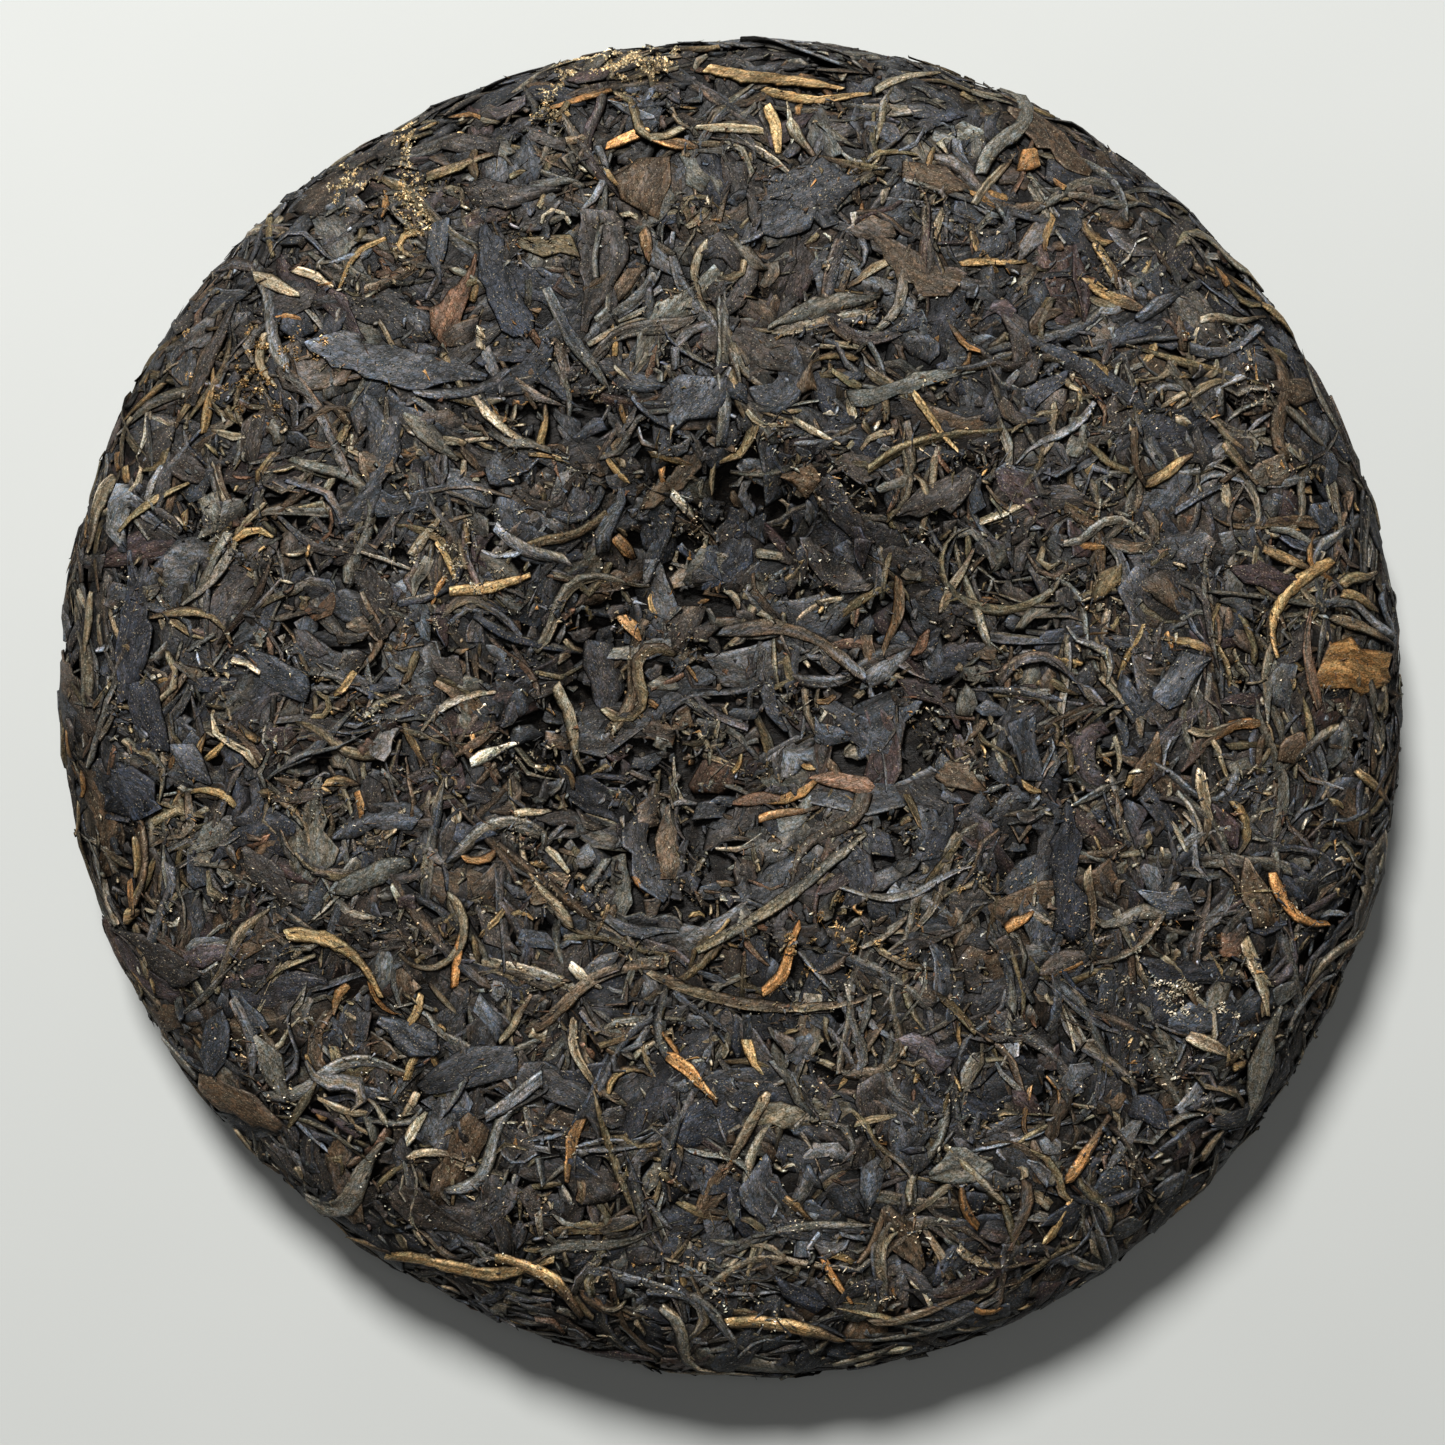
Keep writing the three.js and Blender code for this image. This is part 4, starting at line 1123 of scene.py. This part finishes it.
# What lays each kind of piece. The layer underneath and the face that lies down, with the
# parts of leaves in its gaps, have fewer points to a leaf
LAYERS = {
    "leaf": lay_leaf,
    "under": partial(lay_leaf, grid=UNDER_GRID),
    "broad": partial(lay_leaf, grid=BROAD_GRID, second=FRONT_PALETTE),
    "filler": partial(lay_leaf, grid=FILLER_GRID),
    "flake": lay_flake,
    "knot": lay_knot,
    "strip": lay_strip,
    "curl": lay_curl,
    "splinter": lay_splinter,
    "bud": lay_bud,
}


def make_drifts():
    """The ways and starts of the waves that make the drifts of litter."""
    turn = rng.uniform(0, 2 * math.pi, LITTER_COUNT)
    ways = np.stack([np.cos(turn), np.sin(turn)]) * 2 * math.pi
    ways = ways / rng.uniform(*LITTER_WAVE, LITTER_COUNT)
    return ways, rng.uniform(0, 2 * math.pi, LITTER_COUNT)


DRIFT_WAYS, DRIFT_STARTS = make_drifts()


def litter(place):
    """How littered with shreds a place is, above or below nought, in drifts."""
    return np.sin(np.asarray(place) @ DRIFT_WAYS + DRIFT_STARTS).sum(axis=-1)


def free_place(pile, reach, tries):
    """A random place on a face, the lowest of a few, with its distance and angle."""
    best = None
    for _ in range(tries):
        distance = reach * math.sqrt(rng.random())
        angle = rng.uniform(0, 2 * math.pi)
        place = np.array([distance * math.cos(angle), distance * math.sin(angle)])
        height = pile.under(*place)
        if best is None or height < best[0]:
            best = (height, place, distance, angle)
    return best[1:]


def place_for(kind, pile, reach):
    """A place for a piece: splinters keep to the drifts, and strips and buds are fewer in
    the hollow."""
    found = free_place(pile, reach, TRIES[kind])
    while kind == "splinter" and litter(found[0]) < rng.normal(LITTER_LEAST, LITTER_SPREAD):
        found = free_place(pile, reach, 1)
    if kind in SPARSE_INSIDE and found[1] < HOLLOW_LIP_RADIUS and rng.random() < SPARSE_CHANCE:
        found = free_place(pile, reach, TRIES[kind])
    return found


def heading_at(distance, angle, reach):
    """Any way in the middle, and mostly round the cake near its rim."""
    begin, end = ROUND_BAND
    if rng.random() < smoothstep(distance, reach - begin, reach - end):
        return math.degrees(angle) + 90 + rng.normal(0, ROUND_SPREAD)
    return rng.uniform(0, 360)


def beside(place, heading):
    """A place next to a strip's, and nearly its heading."""
    turn = math.radians(heading)
    along = rng.uniform(-STRAND_SLIDE, STRAND_SLIDE)
    aside = rng.choice([-1, 1]) * rng.uniform(*STRAND_GAP)
    step = np.array(rotated(along, aside, math.cos(turn), math.sin(turn)))
    return place + step, heading + rng.normal(0, STRAND_TURN)


def laying_order(counts):
    """The sort of every piece, largest first, then mixed."""
    sorts = np.repeat(list(counts), list(counts.values()))
    kinds = np.array([SORTS[sort][0] for sort in sorts])
    order = np.array([max(SORTS[sort][1]) for sort in sorts]) ** SIZE_POWER
    order = order * rng.uniform(*ORDER_MIX, len(sorts))
    order = order * np.array([LATER.get(kind, 1.0) for kind in kinds])
    return sorts[np.argsort(-order - UNDER_FIRST * (kinds == "under"))]


def strew(pile, batches, reach, counts, small_inside=1.0):
    """Pieces of every sort over one face. Many strips lie in strands, side by side.

    Towards the middle the pieces get smaller, by a share of what they do on the back.
    """
    strand = None
    for sort in laying_order(counts):
        kind, lengths, widths, palette = SORTS[sort]
        place, distance, angle = place_for(kind, pile, reach)
        outer = 1 - small_inside * (1 - smoothstep(distance, *SMALLER_SPAN))
        long = rng.uniform(*lengths) * (LENGTH_SHARES[0] + LENGTH_SHARES[1] * outer)
        if kind == "strip":
            long = long * STRIP_LONGER
        wide = rng.uniform(*widths) * (WIDTH_SHARES[0] + WIDTH_SHARES[1] * outer)
        bend = rng.normal(0, SLIGHT_BEND if rng.random() < SLIGHT_CHANCE else STRONG_BEND)
        heading = heading_at(distance, angle, reach)
        if kind == "strip":
            if strand is not None and rng.random() < STRAND_CHANCE:
                place, heading = beside(*strand[:2])
                bend = strand[2] + rng.normal(0, STRAND_BEND_SPREAD)
            strand = (place, heading, bend) if abs(bend) < STRAND_BEND else None
        spot = Spot(place, heading, long, bend, wide, drawn(palette))
        LAYERS[kind](batches[sort], spot)


def crumble(points):
    """Uneven relief from many waves that cross at random."""
    total = np.zeros(len(points))
    for _ in range(CRUMBLE_WAVES):
        way = rng.normal(size=3)
        way *= 2 * math.pi / (rng.uniform(*CRUMBLE_LENGTHS) * np.linalg.norm(way))
        total += np.sin(points @ way + rng.uniform(0, 2 * math.pi))
    return total / math.sqrt(CRUMBLE_WAVES)


def closed_skin(rings, sides):
    """Corners and face sizes over rings of points, with a point more at each end."""
    quads = ring_faces(rings, sides)[2]
    quads = np.roll(quads[..., ::-1], 1, axis=-1)
    fan = np.arange(sides)
    turned = (fan + 1) % sides
    poles = rings * sides
    last = (rings - 1) * sides
    top = np.stack([np.full(sides, poles), fan, turned], axis=-1)
    bottom = np.stack([np.full(sides, poles + 1), last + turned, last + fan], axis=-1)
    corners = np.concatenate([quads.reshape(-1), top.reshape(-1), bottom.reshape(-1)])
    return corners, np.repeat([4, 3], [(rings - 1) * sides, 2 * sides])


def make_core(material):
    """The dark inside that shows in the gaps: the cake's shape, sunk, with crumbly relief, painted very
    dark as the shade that falls in the gaps.
    """
    along = np.linspace(0, SECTION_LENGTH, CORE_RINGS + 2)[1:-1]
    angle = 2 * math.pi * np.arange(CORE_SIDES) / CORE_SIDES
    angle, along = np.meshgrid(angle, along)
    angle = np.append(angle, [0.0, 0.0])
    along = np.append(along, [0.0, SECTION_LENGTH])
    base = surface_point(angle, along)
    height = -CORE_DEPTH + CORE_RELIEF * crumble(base)
    points = base + surface_normal(angle, along) * height[:, None]
    # Painted shade: the core's colour is darkened as the shade in the gaps
    tint = np.tile(fully_lit(linear("brown_black")) * CORE_SHADE**SHADE_TINT, (len(points), 1))
    mesh_piece("core", points, *closed_skin(CORE_RINGS, CORE_SIDES), material, tint, points)


def grains(name, pile, places, sizes, colours, material):
    """Small uneven grains lying on the pile, each the plain one pulled about."""
    count = len(places)
    points_each = len(GRAIN_CORNERS)
    corners = GRAIN_CORNERS * rng.uniform(*GRAIN_PULL, (count, points_each, 1))
    corners = corners * sizes[:, None, :] / 2
    turn = rng.uniform(0, 2 * math.pi, count)[:, None]
    tilt = rng.normal(0, GRAIN_TILT, count)[:, None]
    x, y = rotated(corners[..., 0], corners[..., 1], np.cos(turn), np.sin(turn))
    z = corners[..., 2] + corners[..., 0] * np.sin(tilt)
    chart = np.stack([places[:, :1] + x, places[:, 1:] + y, z], axis=-1)
    lie = np.minimum(pile.under(places[:, 0], places[:, 1]), PRESS_LEVEL[1])
    chart[..., 2] += (lie + GRAIN_LIFT * sizes[:, 2])[:, None]
    points = from_chart(chart.reshape(-1, 3), on_front=False)
    faces = GRAIN_FACES + points_each * np.arange(count)[:, None, None]
    # Painted shade on the grains, by how deep they lie in the pile
    lit = pile.light(places[:, 0], places[:, 1], lie)[:, None]
    tint = np.repeat(fully_lit(colours) * lit**SHADE_TINT, points_each, axis=0)
    grain = points + np.repeat(rng.uniform(0, GRAIN_APART / 2, count), points_each)[:, None]
    face_count = len(GRAIN_FACES) * count
    piece = mesh_piece(name, points, faces.reshape(-1), np.full(face_count, 3), material, tint,
                       grain)
    piece.data.polygons.foreach_set("use_smooth", np.zeros(face_count, dtype=bool))


def scattered(count):
    """Random places over the back, most of them in the drifts."""
    tries = PLACES_EACH * count
    distance = (BACK_REACH - RIM_CLEAR) * np.sqrt(rng.random(tries))
    places = flat_places(distance, rng.uniform(0, 2 * math.pi, tries))
    liked = litter(places) + rng.normal(0, LITTER_SPREAD, tries)
    return places[np.argsort(-liked)[:count]]


def grain_lengths(spread, count):
    """Many short lengths and a few long ones."""
    least, shape, scale = spread
    return rng.gamma(shape, scale, count) + least


def make_crumbs(pile, material):
    """Broken crumbs of leaf, from splinters to specks."""
    sizes = np.stack([grain_lengths(CRUMB_LENGTH, CRUMB_COUNT),
                      rng.uniform(*CRUMB_WIDTH, CRUMB_COUNT),
                      rng.uniform(*CRUMB_THICK, CRUMB_COUNT)], axis=-1)
    colours = np.array([shade_of(drawn(CHIP_PALETTE), CRUMB_SPREAD) for _ in range(CRUMB_COUNT)])
    grains("crumbs", pile, scattered(CRUMB_COUNT), sizes, colours, material)


def patch_places(x, y, spread, across, heading, count):
    """Places of the grains of one patch of dust, in clumps, none past the rim."""
    turn = math.radians(heading)
    clumps = count // CLUMP_GRAINS
    mine = rng.integers(0, clumps, count)
    along = rng.normal(0, spread, clumps)[mine] + rng.normal(0, CLUMP_SPREAD, count)
    aside = rng.normal(0, across, clumps)[mine] + rng.normal(0, CLUMP_SPREAD, count)
    x = x + along * math.cos(turn) - aside * math.sin(turn)
    y = y + along * math.sin(turn) + aside * math.cos(turn)
    inside = np.minimum(1.0, (CAKE_RADIUS - PATCH_INSET) / np.hypot(x, y))
    return chart_of_plan(x * inside, y * inside)


def make_dust(pile, material):
    """Golden hairs and dust off the buds: a thin scatter, thick in a few patches."""
    places = [scattered(DUST_COUNT)]
    colours = [shade_of(drawn(DUST_PALETTE), DUST_SPREAD) for _ in range(DUST_COUNT)]
    for *where, count, colour in DUST_PATCHES:
        places.append(patch_places(*where, count))
        colours += [shade_of(colour, DUST_SPREAD) for _ in range(count)]
    places = np.concatenate(places)
    length = grain_lengths(DUST_LENGTH, len(places))
    length[DUST_COUNT:] *= PATCH_LONGER
    sizes = np.stack([length, rng.uniform(*DUST_WIDTH, len(places)),
                      np.full(len(places), DUST_THICK)], axis=-1)
    grains("golden_dust", pile, places, sizes, np.array(colours), material)


class Nodes:
    """Small helper that adds shader nodes and links them."""

    def __init__(self, name):
        self.material = bpy.data.materials.new(name)
        self.material.use_nodes = True
        self.tree = self.material.node_tree
        self.shader = self.tree.nodes["Principled BSDF"]

    def add(self, kind, settings=(), values=(), **sockets):
        """A node with its settings, its first sockets by place and others by name."""
        node = self.tree.nodes.new(kind)
        for key, value in dict(settings).items():
            setattr(node, key, value)
        for place, value in enumerate(values):
            self.put(value, node.inputs[place])
        for key, value in sockets.items():
            self.put(value, node.inputs[key.replace("_", " ")])
        return node

    def put(self, value, socket):
        """A value or a link into a socket."""
        if isinstance(value, bpy.types.NodeSocket):
            self.tree.links.new(value, socket)
        else:
            socket.default_value = value

    def own(self, name):
        """What the mesh holds for each point under a name."""
        return self.add("ShaderNodeAttribute", {"attribute_name": name}).outputs

    def pattern(self, place, closeness, detail, roughness):
        """Noise over places, squeezed along each axis by how closely it is to lie."""
        place = self.vector("MULTIPLY", place, closeness)
        node = self.add("ShaderNodeTexNoise", Vector=place, Scale=1.0, Detail=detail,
                        Roughness=roughness)
        return node.outputs["Fac"]

    def span(self, value, ends, reached=(0.0, 1.0)):
        """A value moved from between two ends to between two others, and held there."""
        node = self.add("ShaderNodeMapRange", values=(value, *ends, *reached))
        return node.outputs["Result"]

    def vector(self, operation, *values):
        node = self.add("ShaderNodeVectorMath", {"operation": operation}, values)
        return node.outputs["Vector"]

    def toned(self, colour, share):
        """A colour made darker or lighter by a share."""
        node = self.add("ShaderNodeVectorMath", {"operation": "SCALE"}, (colour,), Scale=share)
        return node.outputs["Vector"]

    def maths(self, operation, *values):
        return self.add("ShaderNodeMath", {"operation": operation}, values).outputs["Value"]

    def product(self, first, second):
        return self.maths("MULTIPLY", first, second)

    def blend(self, mode, share, first, second):
        node = self.add("ShaderNodeMix", {"data_type": "RGBA", "blend_type": mode})
        for value, place in ((share, "Factor"), (first, 6), (second, 7)):
            self.put(value, node.inputs[place])
        return node.outputs[2]

    def voronoi(self, place, output, settings=()):
        return self.add("ShaderNodeTexVoronoi", settings, Vector=place, Scale=1.0).outputs[output]


def leaf_material(name, fibres, tones, crease_shade, wrinkle, pitted=(0.42, 1.62), speckle=0.8,
                  facets=(0.4, 0.8, 1.0), facet_tones=(0.7, 1.5), facet_edge_shade=0.5):
    """Dry tea: its own tint, lengthwise fibres, sharp creases with painted shade in them, mottling,
    pits and facets with painted shade along their edges.
    """
    nodes = Nodes(name)
    own = nodes.own("tint")
    tint, lit = own["Color"], own["Alpha"]
    grain = nodes.own("grain")["Vector"]
    fibre = nodes.pattern(grain, fibres, *FIBRE_DETAIL)
    pits = nodes.pattern(grain, *PITS)
    mottle = nodes.pattern(grain, *MOTTLE)
    off_crease = nodes.maths("SUBTRACT", nodes.pattern(grain, *FOLDS), MID_NOISE)
    crease = nodes.span(nodes.maths("ABSOLUTE", off_crease), CREASE_SPAN)
    light = nodes.span(fibre, NOISE_SPAN, tones)
    # Painted shade in the creases
    light = nodes.product(light, nodes.span(crease, (0.0, 1.0), (crease_shade, 1.0)))
    light = nodes.product(light, nodes.span(pits, NOISE_SPAN, pitted))
    red = nodes.product(light, nodes.span(mottle, MOTTLE_SPAN, WARM_TONES))
    blue = nodes.maths("POWER", light, DARK_WARMTH)
    blue = nodes.product(blue, nodes.span(mottle, MOTTLE_SPAN, COOL_TONES))
    grey = nodes.add("ShaderNodeCombineColor", Red=red, Green=light, Blue=blue)
    colour = nodes.blend("MULTIPLY", 1.0, tint, grey.outputs["Color"])

    bends = nodes.product(nodes.pattern(grain, *BENDS), BEND_REACH)
    place = nodes.vector("ADD", nodes.vector("MULTIPLY", grain, facets), bends)
    facet = nodes.add("ShaderNodeSeparateColor", Color=nodes.voronoi(place, "Color"))
    facet = facet.outputs["Red"]
    edge = nodes.voronoi(place, "Distance", {"feature": "DISTANCE_TO_EDGE"})
    colour = nodes.toned(colour, nodes.span(facet, (0.0, 1.0), facet_tones))
    # Painted shade along the facets' edges
    colour = nodes.toned(colour, nodes.span(edge, FACET_EDGE_SPAN, (facet_edge_shade, 1.0)))
    specks = nodes.span(nodes.pattern(grain, *SPECKS), SPECK_SPAN, (0.0, speckle))
    speck_colour = tuple(linear("tan")) + (1.0,)
    colour = nodes.blend("MIX", nodes.product(specks, lit), colour, speck_colour)

    relief = 0.0
    for height, share in zip((fibre, pits, crease, facet), RELIEF_SHARES):
        relief = nodes.maths("MULTIPLY_ADD", height, share, relief)
    bump = nodes.add("ShaderNodeBump", Height=relief, Strength=1.0, Distance=wrinkle * MM)
    nodes.put(colour, nodes.shader.inputs["Base Color"])
    nodes.put(nodes.span(fibre, ROUGH_SPAN, ROUGH_TO_SMOOTH), nodes.shader.inputs["Roughness"])
    nodes.put(bump.outputs["Normal"], nodes.shader.inputs["Normal"])
    nodes.shader.inputs["Specular IOR Level"].default_value = SPECULAR
    return nodes.material


def floor_material():
    """A pale matte floor, faintly uneven."""
    nodes = Nodes("pale_floor")
    place = nodes.add("ShaderNodeNewGeometry").outputs["Position"]
    cloudy = nodes.blend("MIX", nodes.pattern(place, *FLOOR_CLOUDS), *FLOOR_COLOURS)
    nodes.put(cloudy, nodes.shader.inputs["Base Color"])
    nodes.shader.inputs["Roughness"].default_value = FLOOR_ROUGHNESS
    return nodes.material


def make_floor():
    """The floor that the cake lies on."""
    corners = [(x * FLOOR_HALF, y * FLOOR_HALF, 0) for x, y in ((-1, -1), (1, -1), (1, 1), (-1, 1))]
    mesh = bpy.data.meshes.new("floor")
    mesh.from_pydata(corners, [], [(0, 1, 2, 3)])
    mesh.materials.append(floor_material())
    floor = bpy.data.objects.new("floor", mesh)
    bpy.context.collection.objects.link(floor)


def area_light(name, place, size, power):
    """A round lamp that faces the cake."""
    lamp = bpy.data.lights.new(name, "AREA")
    lamp.shape = "DISK"
    lamp.size = size
    lamp.energy = power
    light = bpy.data.objects.new(name, lamp)
    light.location = place
    light.rotation_euler = (-Vector(place)).to_track_quat("-Z", "Y").to_euler()
    bpy.context.collection.objects.link(light)


def make_lights():
    """The window's soft light from the top of the photo, and a little from all round."""
    for lamp in LAMPS:
        area_light(*lamp)
    world = bpy.data.worlds.new("studio")
    world.use_nodes = True
    background = world.node_tree.nodes["Background"]
    background.inputs["Color"].default_value = AROUND_COLOUR
    background.inputs["Strength"].default_value = AROUND_STRENGTH
    bpy.context.scene.world = world


def make_camera():
    """The camera above the cake, with the photo's frame about it."""
    seen = PHOTO_PIXELS / PIXELS_PER_MM
    data = bpy.data.cameras.new("camera")
    data.sensor_width = SENSOR_MM
    data.lens = SENSOR_MM * CAMERA_ABOVE / seen
    camera = bpy.data.objects.new("camera", data)
    aside = (PHOTO_PIXELS / 2 - CAKE_MIDDLE_PIXEL[0]) / PIXELS_PER_MM
    up = (CAKE_MIDDLE_PIXEL[1] - PHOTO_PIXELS / 2) / PIXELS_PER_MM
    camera.location = (aside * MM, up * MM, (CAMERA_ABOVE + WIDEST_HEIGHT) * MM)
    bpy.context.collection.objects.link(camera)
    bpy.context.scene.camera = camera


def lay_standouts(batches):
    """The pieces that stand out, on top of the others."""
    for kind, colours in STANDOUTS.items():
        batch = batches["standout_leaves" if kind in ("leaf", "knot") else "standout_strips"]
        for colour, rows in colours.items():
            for x, y, heading, long, bend, wide in rows:
                spot = Spot(np.array([x, y]), heading, long, bend, wide, colour)
                LAYERS[kind](batch, spot, in_plan=True)


def make_back(looks):
    """The hollowed face that lies up, with the rim."""
    pile = Pile(BACK_REACH)
    batches = {sort: Batch(pile) for sort in BACK_COUNTS}
    strew(pile, batches, BACK_REACH + BACK_OVERHANG, BACK_COUNTS)
    batches["standout_leaves"] = Batch(pile)
    batches["standout_strips"] = Batch(pile)
    lay_standouts(batches)
    for sort, batch in batches.items():
        batch.make(sort, looks[LOOK_OF.get(sort, "pressed_leaf")])
    make_crumbs(pile, looks["pressed_leaf"])
    make_dust(pile, looks["golden_dust"])


def make_front(material):
    """The domed face that lies down, and the rim's lower half, in one piece."""
    pile = Pile(FRONT_REACH)
    batch = Batch(pile, on_front=True)
    batches = dict.fromkeys(FRONT_COUNTS, batch)
    strew(pile, batches, FRONT_REACH - FRONT_INSET, FRONT_COUNTS, small_inside=0.0)
    batch.make("front_leaves", material)


bpy.context.scene.view_settings.view_transform = "Standard"
make_camera()
make_lights()
make_floor()
looks = {name: leaf_material(name, **look) for name, look in LOOKS.items()}
make_back(looks)
make_front(looks["pressed_leaf"])
make_core(looks["pressed_leaf"])
